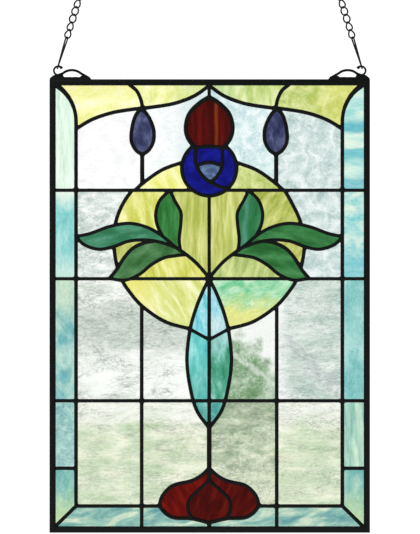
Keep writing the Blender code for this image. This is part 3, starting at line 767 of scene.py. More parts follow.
    def draw_middle(self) -> None:
        """The bloom, the blue ring, the long pointed shape and the bulb, down the middle."""
        halves = {
            "bloom": ((0, 4.890), (0.066, 4.838), (0.148, 4.733), (0.176, 4.600), (0.161, 4.500),
                      (0.109, 4.407)),
            "vesica": ((0, 3), (0.044, 2.906), (0.104, 2.742), (0.143, 2.586), (0.164, 2.414),
                       (0.167, 2.324), (0.149, 2.143), (0.094, 1.910), (0, 1.739)),
            "bulb": ((0, 1.360), (0.056, 1.294), (0.124, 1.244), (0.282, 1.187), (0.357, 1.083),
                     (0.366, 0.961), (0.285, 0.473), (0.128, 0.385), (0, 0.180)),
        }
        bloom_foot = self.curve((0.109, 4.407), (0, 4.419), (-0.109, 4.407))
        for name, knots in halves.items():
            right, left = self.curve(*knots), self.curve(*knots, side=Side.LEFT)
            foot = bloom_foot[1:-1] if name == "bloom" else []
            layer = Layer.TOP if name == "bloom" else Layer.FIGURE
            self.figures.append(Figure(name, right + foot + left[::-1][not foot:-1], layer))
            for half in (right, left):
                self.add(half, self.stout if name == "bloom" else self.line, layer)
        self.add(bloom_foot, self.line, Layer.TOP)
        petal = ((0, 1.240), (0.083, 1.149), (0.153, 1.054), (0.156, 0.741), (0.124, 0.340))
        for side in Side:
            self.add(self.curve(*petal, side=side), self.fine, Layer.FIGURE, "bulb")
        ring = arc(self.grid.place(0, 4.209), self.ring_radius, 0, 2 * math.pi)
        self.figures.append(Figure("ring", ring[:-1]))
        self.add(ring, self.line, Layer.FIGURE)
        inner = (
            ((-0.101, 4.45), (-0.103, 4.336), (-0.099, 4.249), (-0.041, 4.125), (0.038, 4.058),
             (0.098, 4.027), (0.180, 4.020)),
            ((0.098, 4.45), (0.098, 4.259), (0.090, 4.201), (0.056, 4.128), (0.011, 4.076)),
            ((-0.099, 4.238), (0, 4.266), (0.098, 4.236)),
        )
        for knots in inner:
            self.add(self.curve(*knots), self.line, Layer.FIGURE, "ring")
        self.add(self.curve((0, self.grid.edge_up), (0, 4.87)), self.fine)
        self.add(self.curve((0, 4), (0, 3)), self.fine)
        self.add(self.curve((0, 2.99), (0, 1.735)), self.line, Layer.FIGURE, "vesica")
        for side in Side:
            self.add(self.curve((0, 2), (0.2, 2), side=side), self.fine, Layer.FIGURE, "vesica")
        self.add(self.curve((0, 1.77), (0, 1.34)), self.trunk)
        self.add(self.curve((0, 1.37), (0, 1.22)), self.stout, Layer.FIGURE, "bulb")
        self.add(self.curve((0, 0.2), (0, self.grid.edge_down)), self.stout)

    def shows(self, line: LeadLine, over: set[str]) -> bool:
        """Whether a line can be seen inside these figures.

        Args:
            line: The line.
            over: The names of the figures that cover the place.

        Returns:
            True where it shows.
        """
        if line.within and line.within not in over:
            return False
        return all(figure.layer <= line.layer for figure in self.figures if figure.name in over)


class Arrangement:
    """The drawing cut into triangles, each of which knows the lines and figures that cover it."""

    def __init__(self, pattern: Pattern) -> None:
        """Start with the pattern's figures.

        Args:
            pattern: The pattern that the lines come from.
        """
        self.pattern = pattern
        self.points: Points = []
        self.faces: Triangles = []
        self.owners: list[object] = []
        for figure in pattern.figures:
            self.add(evenly([*figure.outline, figure.outline[0]], OUTLINE_SPACING)[:-1], figure)

    def add(self, outline: Points, owner: object) -> None:
        """Add one closed outline that belongs to the owner."""
        area = sum(a.cross(b) for a, b in zip(outline, outline[1:] + outline[:1]))
        outline = outline if area > 0 else outline[::-1]
        self.faces.append(list(range(len(self.points), len(self.points) + len(outline))))
        self.points += outline
        self.owners.append(owner)

    def add_line(self, line: LeadLine, width: float, spacing: float, rows: tuple[float, ...] = ()) -> None:
        """Add a line as a row of tiles that share their ends.

        Args:
            line: The line.
            width: The width of the tiles.
            spacing: How long a tile is.
            rows: Extra points beside the middle, as shares of half the width.
        """
        points = evenly(line.points, spacing)
        if not is_closed(points):
            points[0] = points[0] + (points[0] - points[1]).normalized() * line.width / 4
            points[-1] = points[-1] + (points[-1] - points[-2]).normalized() * line.width / 4
        sides = [side * width / 2 for side in sideways(points)]
        for a, b, m, n in zip(points, points[1:], sides, sides[1:]):
            self.add([a - m, b - n, b + n, a + m], line)
        for point, side in zip(points, sides):
            self.points += [point + row * side for row in rows]

    def cut(self, opening: float) -> tuple[Points, Triangles, list[list[LeadLine]]]:
        """Cut everything into triangles inside a rectangle.

        Args:
            opening: How far the rectangle lies inside the panel's edge.

        Returns:
            The corners, the triangles inside, and for each the lines that show there.
        """
        self.add(self.pattern.grid.rectangle(opening), "opening")
        corners, _, triangles, _, _, covers = delaunay_2d_cdt(self.points, [], self.faces, 1, MERGE, True)
        kept, seen = [], []
        for triangle, cover in zip(triangles, covers):
            owners = [self.owners[face] for face in cover]
            if "opening" not in owners:
                continue
            over = {owner.name for owner in owners if isinstance(owner, Figure)}
            kept.append(triangle)
            seen.append([owner for owner in owners if isinstance(owner, LeadLine)
                         and self.pattern.shows(owner, over)])
        return corners, kept, seen


def flat_sheet(corners: Points, triangles: Triangles) -> Shape:
    """Triangles as one flat sheet that faces the viewer.

    Corners that all but touch become one. Slivers that then lie on other triangles are dropped, and a
    corner where the sheet only touches itself is parted, so that the sheet makes a closed slab.

    Args:
        corners: The corners, across and up.
        triangles: Three corners for each triangle.

    Returns:
        The sheet, at no depth, with each corner's number in the layer named corner.
    """
    sheet = bmesh.new()
    number = sheet.verts.layers.int.new("corner")
    made: dict[int, bmesh.types.BMVert] = {}
    for triangle in triangles:
        for corner in triangle:
            if corner not in made:
                made[corner] = sheet.verts.new((corners[corner].x, 0.0, corners[corner].y))
                made[corner][number] = corner
        sheet.faces.new([made[corner] for corner in triangle])
    bmesh.ops.remove_doubles(sheet, verts=sheet.verts, dist=WELD)
    for edge in [edge for edge in sheet.edges if len(edge.link_faces) > 2]:
        spare = sorted(edge.link_faces, key=lambda face: face.calc_area())[:len(edge.link_faces) - 2]
        bmesh.ops.delete(sheet, geom=spare, context="FACES")
    for vert in list(sheet.verts):
        rim = [edge for edge in vert.link_edges if edge.is_boundary]
        if len(rim) > 2:
            bmesh.utils.vert_separate(vert, rim)
    return sheet


def pulled(sheet: Shape, distance: float) -> list[bmesh.types.BMVert]:
    """Give a sheet thickness along Y.

    Args:
        sheet: The sheet, which becomes a closed slab.
        distance: How far its far side is moved.

    Returns:
        The corners of the far side.
    """
    made = bmesh.ops.extrude_face_region(sheet, geom=sheet.faces[:])["geom"]
    verts = [item for item in made if isinstance(item, bmesh.types.BMVert)]
    bmesh.ops.translate(sheet, vec=(0, distance, 0), verts=verts)
    return verts


def stood(name: str, data: bpy.types.ID) -> bpy.types.Object:
    """A new object in the scene.

    Args:
        name: Its name.
        data: Its mesh, curve, lamp or lens.

    Returns:
        The object.
    """
    made = bpy.data.objects.new(name, data)
    bpy.context.scene.collection.objects.link(made)
    return made


@dataclass
class Workshop:
    """Turns shapes into finished pieces at the panel's height."""

    foot: float

    def finish(self, name: str, shape: Shape, material: Paint, slot: Slot,
               nodes: tuple[str, ...], crease: float = 40.0) -> None:
        """Make a shape into a piece of the object.

        Args:
            name: The piece's name.
            shape: The shape, with its heights from the panel's foot. It is used up.
            material: Its finish.
            slot: The record's slot for the finish. Not used.
            nodes: The solids that the piece stands for.
            crease: The angle in degrees past which an edge stays sharp.
        """
        bmesh.ops.translate(shape, vec=(0, 0, self.foot), verts=shape.verts)
        bmesh.ops.recalc_face_normals(shape, faces=shape.faces)
        mesh = bpy.data.meshes.new(name)
        shape.to_mesh(mesh)
        shape.free()
        mesh.shade_smooth()
        mesh.set_sharp_from_angle(angle=math.radians(crease))
        mesh.materials.append(material)
        made = stood(name, mesh)
        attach(made, BODY)
        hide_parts(*nodes)
        LOG.info("%s: %d faces", name, len(mesh.polygons))


@dataclass
class SolderWork:
    """The soldered lines: a rounded bead on each face, and the thin hearts between the panes."""

    pattern: Pattern
    workshop: Workshop
    bed: float = 0.0013
    lip: float = 0.0004
    crown: float = 0.00115
    heart: float = 0.0010
    spacing: float = 0.0014
    across: tuple[float, ...] = (-0.8, -0.45, 0.0, 0.45, 0.8)
    tuck: float = 0.0002
    sample: float = 0.0004
    lumps: float = 170.0
    lump_share: float = 0.10
    fine_lump_share: float = 0.05
    wobble: float = 0.00012
    corner_steps: int = 5
    corner_turn: float = math.radians(152)
    heap: float = 2.0
    fullness: float = 0.25
    finish: PatinaFinish = PatinaFinish("patina_solder", Slot.PATINA)

    def build(self) -> None:
        """Make the two beads and the hearts."""
        drawing = Arrangement(self.pattern)
        for line in self.pattern.lines:
            drawing.add_line(line, line.width, self.spacing, self.across)
        corners, triangles, seen = drawing.cut(self.pattern.grid.frame_face - self.tuck)
        kept = [triangle for triangle, lines in zip(triangles, seen) if lines]
        heights = self.heights(corners)
        for name, face in (("solder_front", -1), ("solder_back", 1)):
            self.bead(name, face, corners, kept, heights)
        self.hearts()

    def heights(self, corners: Points) -> dict[int, float]:
        """How far the solder stands over its edge at each corner.

        Args:
            corners: The corners of the cut drawing.

        Returns:
            The rise for each corner's number, as a share of the crown.
        """
        samples: list[tuple[Vector, int]] = []
        for index, line in enumerate(self.pattern.lines):
            for point in evenly(line.points, self.sample):
                if self.pattern.shows(line, self.covering(point, line)):
                    samples.append((point, index))
        tree = KDTree(len(samples))
        for index, (point, _) in enumerate(samples):
            tree.insert((point.x, point.y, 0.0), index)
        tree.balance()
        reach = max(line.width for line in self.pattern.lines) / 2
        made = {}
        for number, corner in enumerate(corners):
            nearest: dict[int, float] = {}
            for _, index, distance in tree.find_range((corner.x, corner.y, 0.0), reach):
                owner = samples[index][1]
                nearest[owner] = min(distance, nearest.get(owner, reach))
            total = 0.0
            for owner, distance in nearest.items():
                half = self.pattern.lines[owner].width / 2
                total += max(0.0, 1 - (distance / half) ** 2) ** 2
            made[number] = min(total, self.heap) ** self.fullness
        return made

    def covering(self, point: Vector, line: LeadLine) -> set[str]:
        """The figures that cover a point, but for those whose outline it lies on.

        Args:
            point: The point.
            line: The line that it belongs to.

        Returns:
            The figures' names.
        """
        found = set()
        for figure in self.pattern.figures:
            if figure.name == line.within or (figure.layer > line.layer and self.holds(figure, point)):
                found.add(figure.name)
        return found

    def holds(self, figure: Figure, point: Vector) -> bool:
        """Whether a point lies inside a figure's outline.

        Args:
            figure: The figure.
            point: The point.

        Returns:
            True inside.
        """
        inside = False
        ends = zip(figure.outline, figure.outline[1:] + figure.outline[:1])
        for a, b in ends:
            if (a.y > point.y) != (b.y > point.y):
                inside ^= point.x < a.x + (point.y - a.y) * (b.x - a.x) / (b.y - a.y)
        return inside

    def bead(self, name: str, face: int, corners: Points, triangles: Triangles,
             heights: dict[int, float]) -> None:
        """One face's solder, crowned along every line and fullest where lines meet.

        Args:
            name: The piece's name.
            face: -1 for the front and 1 for the back.
            corners: The corners of the drawing.
            triangles: The triangles that solder covers.
            heights: The rise at each corner.
        """
        sheet = flat_sheet(corners, triangles)
        self.fill_corners(sheet)
        base = set(pulled(sheet, -face * self.lip))
        number = sheet.verts.layers.int["corner"]
        for vert in (vert for vert in sheet.verts if vert not in base):
            seed = vert.co * self.lumps + Vector((face * 3.1, 0, 0))
            full = 1 + self.lump_share * noise.noise(seed) + self.fine_lump_share * noise.noise(seed * 3)
            vert.co.y += face * self.crown * heights[vert[number]] * full
            shift = Vector((noise.noise(seed + Vector((7, 0, 0))), 0, noise.noise(seed + Vector((0, 7, 0)))))
            vert.co += shift * self.wobble
        bmesh.ops.translate(sheet, vec=(0, face * (self.bed + self.lip), 0), verts=sheet.verts)
        self.workshop.finish(name, sheet, self.finish.material(), self.finish.slot, ("solder_network",),
                             crease=60)

    def fill_corners(self, sheet: Shape) -> None:
        """Let the solder round out every sharp corner of its rim, but for those that the frame hides.

        Args:
            sheet: The flat sheet of solder.
        """
        grid = self.pattern.grid
        reach, low, high = grid.width / 2 - grid.frame_face, grid.frame_face, grid.height - grid.frame_face
        beside = {}
        for vert in sheet.verts:
            ends = [edge.other_vert(vert) for edge in vert.link_edges if edge.is_boundary]
            if len(ends) == 2 and abs(vert.co.x) < reach and low < vert.co.z < high:
                beside[vert] = ends
        for _ in range(self.corner_steps):
            moved = {}
            for vert, (one, other) in beside.items():
                first, second = one.co - vert.co, other.co - vert.co
                if first.length and second.length and first.angle(second) < self.corner_turn:
                    moved[vert] = vert.co.lerp((one.co + other.co) / 2, 0.5)
            for vert, place in moved.items():
                vert.co = place

    def hearts(self) -> None:
        """The thin walls of solder and foil between the panes, through the thickness of the glass."""
        drawing = Arrangement(self.pattern)
        for line in self.pattern.lines:
            drawing.add_line(line, self.heart, 2 * self.spacing)
        corners, triangles, seen = drawing.cut(self.pattern.grid.frame_face)
        sheet = flat_sheet(corners, [triangle for triangle, lines in zip(triangles, seen) if lines])
        pulled(sheet, 2 * self.bed + self.lip)
        bmesh.ops.translate(sheet, vec=(0, -self.bed - self.lip / 2, 0), verts=sheet.verts)
        self.workshop.finish("solder_hearts", sheet, self.finish.material(), self.finish.slot,
                             ("solder_network",))


@dataclass(frozen=True)
class Pane:
    """One piece of glass: a point inside it as shares of the grid, its glass, and the solid it stands for."""

    name: str
    at: Knot
    glass: GlassFinish
    node: str


@dataclass
class GlassWork:
    """Every pane, cut to its opening, with gently waved faces."""

    pattern: Pattern
    workshop: Workshop
    panes: list[Pane]
    thickness: float = 0.0030
    room: float = 0.0016
    edge: float = 0.0015
    spacing: float = 0.0028
    mesh: float = 0.0042
    stagger: float = 0.25
    wave: float = 0.00016
    wave_size: float = 0.016

    def build(self) -> None:
        """Cut and finish every pane."""
        corners, groups = self.openings()
        LOG.info("openings between the lines: %d", len(groups))
        for pane in self.panes:
            point = self.pattern.grid.place(*pane.at)
            group = next((group for group in groups if self.holds(corners, group, point)), None)
            if group is None:
                raise ValueError(f"{pane.name} has no opening at its point")
            groups.remove(group)
            self.cut(pane, corners, group)

    def openings(self) -> tuple[Points, list[Triangles]]:
        """The openings that the hearts leave.

        Returns:
            The corners, and the triangles of each opening.
        """
        drawing = Arrangement(self.pattern)
        for line in self.pattern.lines:
            drawing.add_line(line, self.room, self.spacing)
        width, height = self.pattern.grid.width, self.pattern.grid.height
        across, up = round(width / self.mesh), round(height / self.mesh)
        for row in range(1, up):
            for column in range(1, across):
                slip = self.stagger if row % 2 else -self.stagger
                x = ((column + slip) / across - 0.5) * width
                drawing.points.append(Vector((x, row / up * height)))
        corners, triangles, seen = drawing.cut(self.edge)
        free = [triangle for triangle, lines in zip(triangles, seen) if not lines]
        by_edge = defaultdict(list)
        for index, triangle in enumerate(free):
            for a, b in zip(triangle, triangle[1:] + triangle[:1]):
                by_edge[min(a, b), max(a, b)].append(index)
        neighbours = defaultdict(list)
        for sharing in by_edge.values():
            for index in sharing:
                neighbours[index] += [other for other in sharing if other != index]
        groups, known = [], set()
        for start in range(len(free)):
            if start in known:
                continue
            group, waiting = [], [start]
            known.add(start)
            while waiting:
                index = waiting.pop()
                group.append(free[index])
                fresh = [other for other in neighbours[index] if other not in known]
                known.update(fresh)
                waiting += fresh
            groups.append(group)
        return corners, groups

    def holds(self, corners: Points, group: Triangles, point: Vector) -> bool:
        """Whether a group of triangles covers the point."""
        return any(intersect_point_tri_2d(point, *(corners[corner] for corner in triangle))
                   for triangle in group)

    def cut(self, pane: Pane, corners: Points, group: Triangles) -> None:
        """Make one pane.

        Args:
            pane: The pane.
            corners: The corners of the cut drawing.
            group: The triangles of its opening.
        """
        sheet = flat_sheet(corners, group)
        far = set(pulled(sheet, self.thickness))
        for vert in sheet.verts:
            seed = vert.co / self.wave_size + (Vector((9.3, 4.1, 0)) if vert in far else Vector())
            vert.co.y += self.wave * noise.noise(seed) - self.thickness / 2
        self.workshop.finish(pane.name, sheet, pane.glass.material(self.workshop.foot), pane.glass.slot,
                             (pane.node,), crease=35)


@dataclass
class ChannelFrame:
    """The outer frame: a channel with rounded lips, soldered where its four bars meet."""

    grid: Grid
    workshop: Workshop
    lip: float = 0.0015
    spine: float = 0.0012
    channel: float = 0.0036
    round: float = 0.00055
    finish: PatinaFinish = PatinaFinish("patina_frame", Slot.PATINA, roughness=0.45)

    def build(self) -> None:
        """Carry the channel's profile round the four corners, then round its edges."""
        shape = bmesh.new()
        front, slot, face = self.channel / 2 + self.lip, self.channel / 2, self.grid.frame_face
        profile = [(0, -front), (face, -front), (face, -slot), (self.spine, -slot),
                   (self.spine, slot), (face, slot), (face, front), (0, front)]
        side = self.grid.width / 2
        cap = shape.faces.new([shape.verts.new((inset - side, y, inset)) for inset, y in profile])
        for across in (True, False, True, False):
            made = bmesh.ops.extrude_face_region(shape, geom=[cap])["geom"]
            bmesh.ops.delete(shape, geom=[cap], context="FACES_ONLY")
            for vert in (item for item in made if isinstance(item, bmesh.types.BMVert)):
                if across:
                    vert.co.x = -vert.co.x
                else:
                    vert.co.z = self.grid.height - vert.co.z
            cap = next(item for item in made if isinstance(item, bmesh.types.BMFace))
        bmesh.ops.delete(shape, geom=[cap], context="FACES_ONLY")
        bmesh.ops.remove_doubles(shape, verts=shape.verts, dist=MERGE)
        bmesh.ops.recalc_face_normals(shape, faces=shape.faces)
        bends = [edge for edge in shape.edges if edge.calc_face_angle() > 0.5]
        bmesh.ops.bevel(shape, geom=bends, offset=self.round, segments=3, affect="EDGES", profile=0.5,
                        material=-1)
        self.workshop.finish("frame_channel", shape, self.finish.material(), self.finish.slot, ("frame",))


@dataclass
class Wire:
    """Round wire bent along a path."""

    points: Points
    radius: float
    closed: bool = False
    taper: tuple[float, ...] = ()

    def shape(self, sides: int = 5) -> Shape:
        """The wire as a shape.

        Args:
            sides: How finely it is rounded.

        Returns:
            A closed tube.
        """
        curve = bpy.data.curves.new("wire", "CURVE")
        curve.dimensions = "3D"
        curve.bevel_depth = self.radius
        curve.bevel_resolution = sides
        curve.use_fill_caps = True
        spline = curve.splines.new("POLY")
        spline.points.add(len(self.points) - 1)
        for index, point in enumerate(self.points):
            spline.points[index].co = (*point, 1.0)
            spline.points[index].radius = self.taper[index] if self.taper else 1.0
        spline.use_cyclic_u = self.closed
        holder = stood("wire", curve)
        bpy.context.view_layer.update()
        graph = bpy.context.evaluated_depsgraph_get()
        mesh = bpy.data.meshes.new_from_object(holder.evaluated_get(graph))
        shape = bmesh.new()
        shape.from_mesh(mesh)
        bpy.data.objects.remove(holder)
        bpy.data.curves.remove(curve)
        bpy.data.meshes.remove(mesh)
        bmesh.ops.remove_doubles(shape, verts=shape.verts, dist=MERGE)
        return shape


@dataclass
class Hanger:
    """A bent wire hanger on one top corner: its solder seat, its arch and the open curl for the chain."""

    side: Side
    grid: Grid
    workshop: Workshop
    arch_wire: float = 0.0029
    curl_wire: float = 0.0022
    curl_radius: float = 0.0048
    curl_inset: float = 0.0095
    curl_rise: float = 0.0099
    arch_inset: float = 0.0248
    arch_rise: float = 0.0104
    arch_radius: float = 0.0164
    arch_turn: float = math.radians(40)
    seat_length: float = 0.0465
    seat_height: float = 0.0030
    seat_depth: float = 0.0056
    bed_length: float = 0.0150
    bed_rise: float = 0.0028
    bank_length: float = 0.0113
    bank_rise: float = 0.0016
    step: float = 0.0010
    foot_cover: float = 0.0020
    wire_spacing: float = 0.0008
    curl_end: float = math.radians(152)
    taper_points: int = 8
    tip: float = 1.6
    seat_room: float = 0.0003
    seat_cuts: tuple[int, int] = (61, 7)
    slope: float = 1 / 7
    slope_foot: float = 0.22
    side_foot: float = 0.45
    lump_share: float = 0.08
    wire_finish: PatinaFinish = PatinaFinish("patina_wire", Slot.WIRE, roughness=0.42)
    seat_finish: PatinaFinish = PatinaFinish("patina_solder", Slot.PATINA)

    @property
    def curl_centre(self) -> Vector:
        """The middle of the curl, across and up from the panel's foot."""
        return Vector((self.grid.width / 2 - self.curl_inset, self.grid.height + self.curl_rise))

    @property
    def node(self) -> str:
        """The solid that the hanger's two pieces stand for."""
        return f"hanger_{self.side.name.lower()}"

    def build(self) -> None:
        """Make the wire and its seat."""
        half, top = self.grid.width / 2, self.grid.height
        centre = self.curl_centre
        foot = Vector((half - self.seat_length + self.foot_cover, top + self.seat_height / 2))
        middle = Vector((half - self.arch_inset, top + self.arch_rise - self.arch_radius))
        arch = arc(middle, self.arch_radius, math.pi / 2 + self.arch_turn, math.pi / 2 - self.arch_turn, 6)
        rise = evenly(smooth([foot, *arch, centre - Vector((0, self.curl_radius))]), self.wire_spacing)
        curl = arc(centre, self.curl_radius, -math.pi / 2, self.curl_end, 36)
        points = rise + curl[1:]
        thin = self.curl_wire / self.arch_wire
        taper = [1.0] * len(rise) + [thin] * (len(curl) - 1)
        for index in range(self.taper_points):
            share = index / self.taper_points
            taper[len(rise) - self.taper_points + index] = 1.0 + (thin - 1.0) * share
            taper[-1 - index] = thin * (self.tip - (self.tip - 1.0) * share ** 2)
        path = [Vector((self.side.value * point.x, 0, point.y)) for point in points]
        wire = Wire(path, self.arch_wire / 2, taper=tuple(taper)).shape()
        for part, shape, finish, crease in (("wire", wire, self.wire_finish, 40),
                                            ("seat", self.seat(), self.seat_finish, 70)):
            self.workshop.finish(f"{self.node}_{part}", shape, finish.material(), finish.slot,
                                 (self.node,), crease)

    def seat(self) -> Shape:
        """The solder on the frame that holds the wire, sloped at both ends, higher at the curl and foot.

        Returns:
            The shape.
        """
        shape = bmesh.new()
        bmesh.ops.create_cube(shape, size=1.0)
        bmesh.ops.scale(shape, vec=(self.seat_length - self.seat_room, self.seat_depth, self.seat_height),
                        verts=shape.verts)
        for axis, size, cuts in ((0, self.seat_length, self.seat_cuts[0]),
                                 (1, self.seat_depth, self.seat_cuts[1])):
            runs = [edge for edge in shape.edges
                    if abs((edge.verts[0].co - edge.verts[1].co)[axis]) > size / 2]
            bmesh.ops.subdivide_edges(shape, edges=runs, cuts=cuts, use_grid_fill=True)
        reach, deep = self.seat_length / 2, self.seat_depth / 2
        centre_x = self.grid.width / 2 - self.seat_length / 2
        for vert in shape.verts:
            if vert.co.z > 0:
                end = min(1.0, (reach - abs(vert.co.x)) / (self.seat_length * self.slope))
                round_over = math.sqrt(max(0.0, 1 - (vert.co.y / deep) ** 2))
                rise = self.slope_foot + (1 - self.slope_foot) * math.sin(end * math.pi / 2)
                rise *= self.side_foot + (1 - self.side_foot) * round_over
                seed = Vector((vert.co.x * 260 + self.side.value * 5, vert.co.y * 200, 0))
                out = reach - self.side.value * vert.co.x
                bed = min(1.0, max(0.0, (self.bed_length - out) / self.step + 1))
                bank = min(1.0, max(0.0, (out - self.seat_length + self.bank_length) / self.step + 1))
                height = self.seat_height + self.bed_rise * bed + self.bank_rise * bank
                lump = 1 - self.lump_share + self.lump_share * noise.noise(seed)
                vert.co.z = height * rise * lump - self.seat_height / 2
        bmesh.ops.translate(shape, vec=(self.side.value * centre_x, 0,
                                        self.grid.height + self.seat_height / 2), verts=shape.verts)
        return shape


@dataclass
class Chain:
    """One chain: the long link in the hanger's curl, the twisted links, and the ring at the top."""

    hanger: Hanger
    wire: float = 0.0018
    lean: float = math.radians(17.2)
    slip: float = 0.0016
    link_length: float = 0.0119
    link_width: float = 0.0090
    link_twist: float = math.radians(40)
    link_sway: float = math.radians(26)
    link_count: int = 6
    bite: float = 0.0006
    long_length: float = 0.0387
    long_width: float = 0.0060
    long_turn: float = math.radians(68)
    long_twist: float = math.radians(16)
    ring_radius: float = 0.0055
    ring_wire: float = 0.0021
    gap: float = 0.0003
    steps: tuple[int, int, int] = (36, 12, 40)
    finish: PatinaFinish = PatinaFinish("patina_chain", Slot.WIRE, dark=(15, 18, 18), worn=(48, 52, 52),
                                        roughness=0.36, gloss=0.35)

    @property
    def node(self) -> str:
        """The solid that the chain's pieces stand for."""
        return f"chain_{self.hanger.side.name.lower()}"

    @property
    def sign(self) -> int:
        """-1 on the left and 1 on the right."""
        return self.hanger.side.value

    def stations(self) -> tuple[float, list[float], float]:
        """How far along the chain, from beside the hanger's curl, each piece has its middle.

        Returns:
            The long link's, each link's and the ring's distance.
        """
        room = self.hanger.curl_radius - (self.hanger.curl_wire + self.wire) / 2 - self.gap
        off = self.slip * math.cos(self.lean)
        foot = self.slip * math.sin(self.lean) + math.sqrt(room ** 2 - off ** 2)
        long_reach, link_reach = self.long_length - self.wire, self.link_length - self.wire
        overlap = self.wire - self.bite
        first = foot + long_reach - overlap + link_reach / 2
        links = [first + index * (link_reach - overlap) for index in range(self.link_count)]
        ring_foot = links[-1] + link_reach / 2 - (self.wire + self.ring_wire) / 2 + self.bite
        return foot + long_reach / 2, links, ring_foot + self.ring_radius

    def build(self) -> None:
        """Make every piece of the chain."""
        long_middle, links, ring_middle = self.stations()
        self.piece("long_link", self.long_path(), long_middle, self.wire)
        for index, along in enumerate(links):
            path = self.link_path(self.link_sway * (1 - index // 2 % 2))
            self.piece(f"link_{index + 1}", path, along, self.wire)
        turns = (2 * math.pi * step / self.steps[2] for step in range(self.steps[2]))
        ring = [self.ring_radius * Vector((math.sin(turn), 0, math.cos(turn))) for turn in turns]
        self.piece("end_ring", ring, ring_middle, self.ring_wire)

    def piece(self, name: str, path: Points, along: float, thick: float) -> None:
        """Stand one closed loop of wire in its place along the chain.

        Args:
            name: The piece's name in the chain.
            path: The middle line of its wire, about the origin.
            along: How far along the chain it stands.
            thick: The wire's thickness.
        """
        start = self.hanger.curl_centre
        lean = Matrix.Rotation(-self.sign * self.lean, 4, "Y")
        move = Matrix.Translation((self.sign * (start.x + self.slip), 0, start.y)) @ lean
        move = move @ Matrix.Translation((0, 0, along))
        wire = Wire([move @ point for point in path], thick / 2, closed=True).shape(3)
        self.hanger.workshop.finish(f"{self.node}_{name}", wire, self.finish.material(),
                                    self.finish.slot, (self.node,))

    def link_path(self, sway: float) -> Points:
        """The middle line of one twisted oval link.

        Args:
            sway: How far the whole link is turned about the chain.

        Returns:
            The points, about the origin.
        """
        half_long, half_wide = (self.link_length - self.wire) / 2, (self.link_width - self.wire) / 2
        path = []
        for step in range(self.steps[0]):
            angle = 2 * math.pi * step / self.steps[0]
            x, z = half_wide * math.sin(angle), half_long * math.cos(angle)
            heading = self.sign * (sway + self.link_twist * math.cos(angle))
            path.append(Vector((x * math.cos(heading), x * math.sin(heading), z)))
        return path

    def long_path(self) -> Points:
        """The middle line of the long link, with twisted straight sides and round ends."""
        bend = (self.long_width - self.wire) / 2
        straight = (self.long_length - self.long_width) / 2
        path = []
        for end in (1, -1):
            for step in range(self.steps[1] + 1):
                angle = math.pi * step / self.steps[1]
                path.append(Vector((end * bend * math.cos(angle), 0,
                                    end * (straight + bend * math.sin(angle)))))
            path += [path[-1].lerp(Vector((path[-1].x, 0, -path[-1].z)), step / 8) for step in range(1, 8)]
        turns = (self.sign * (self.long_turn - self.long_twist * point.z / straight)
                 for point in path)
        return [Matrix.Rotation(turn, 3, "Z") @ point for turn, point in zip(turns, path)]


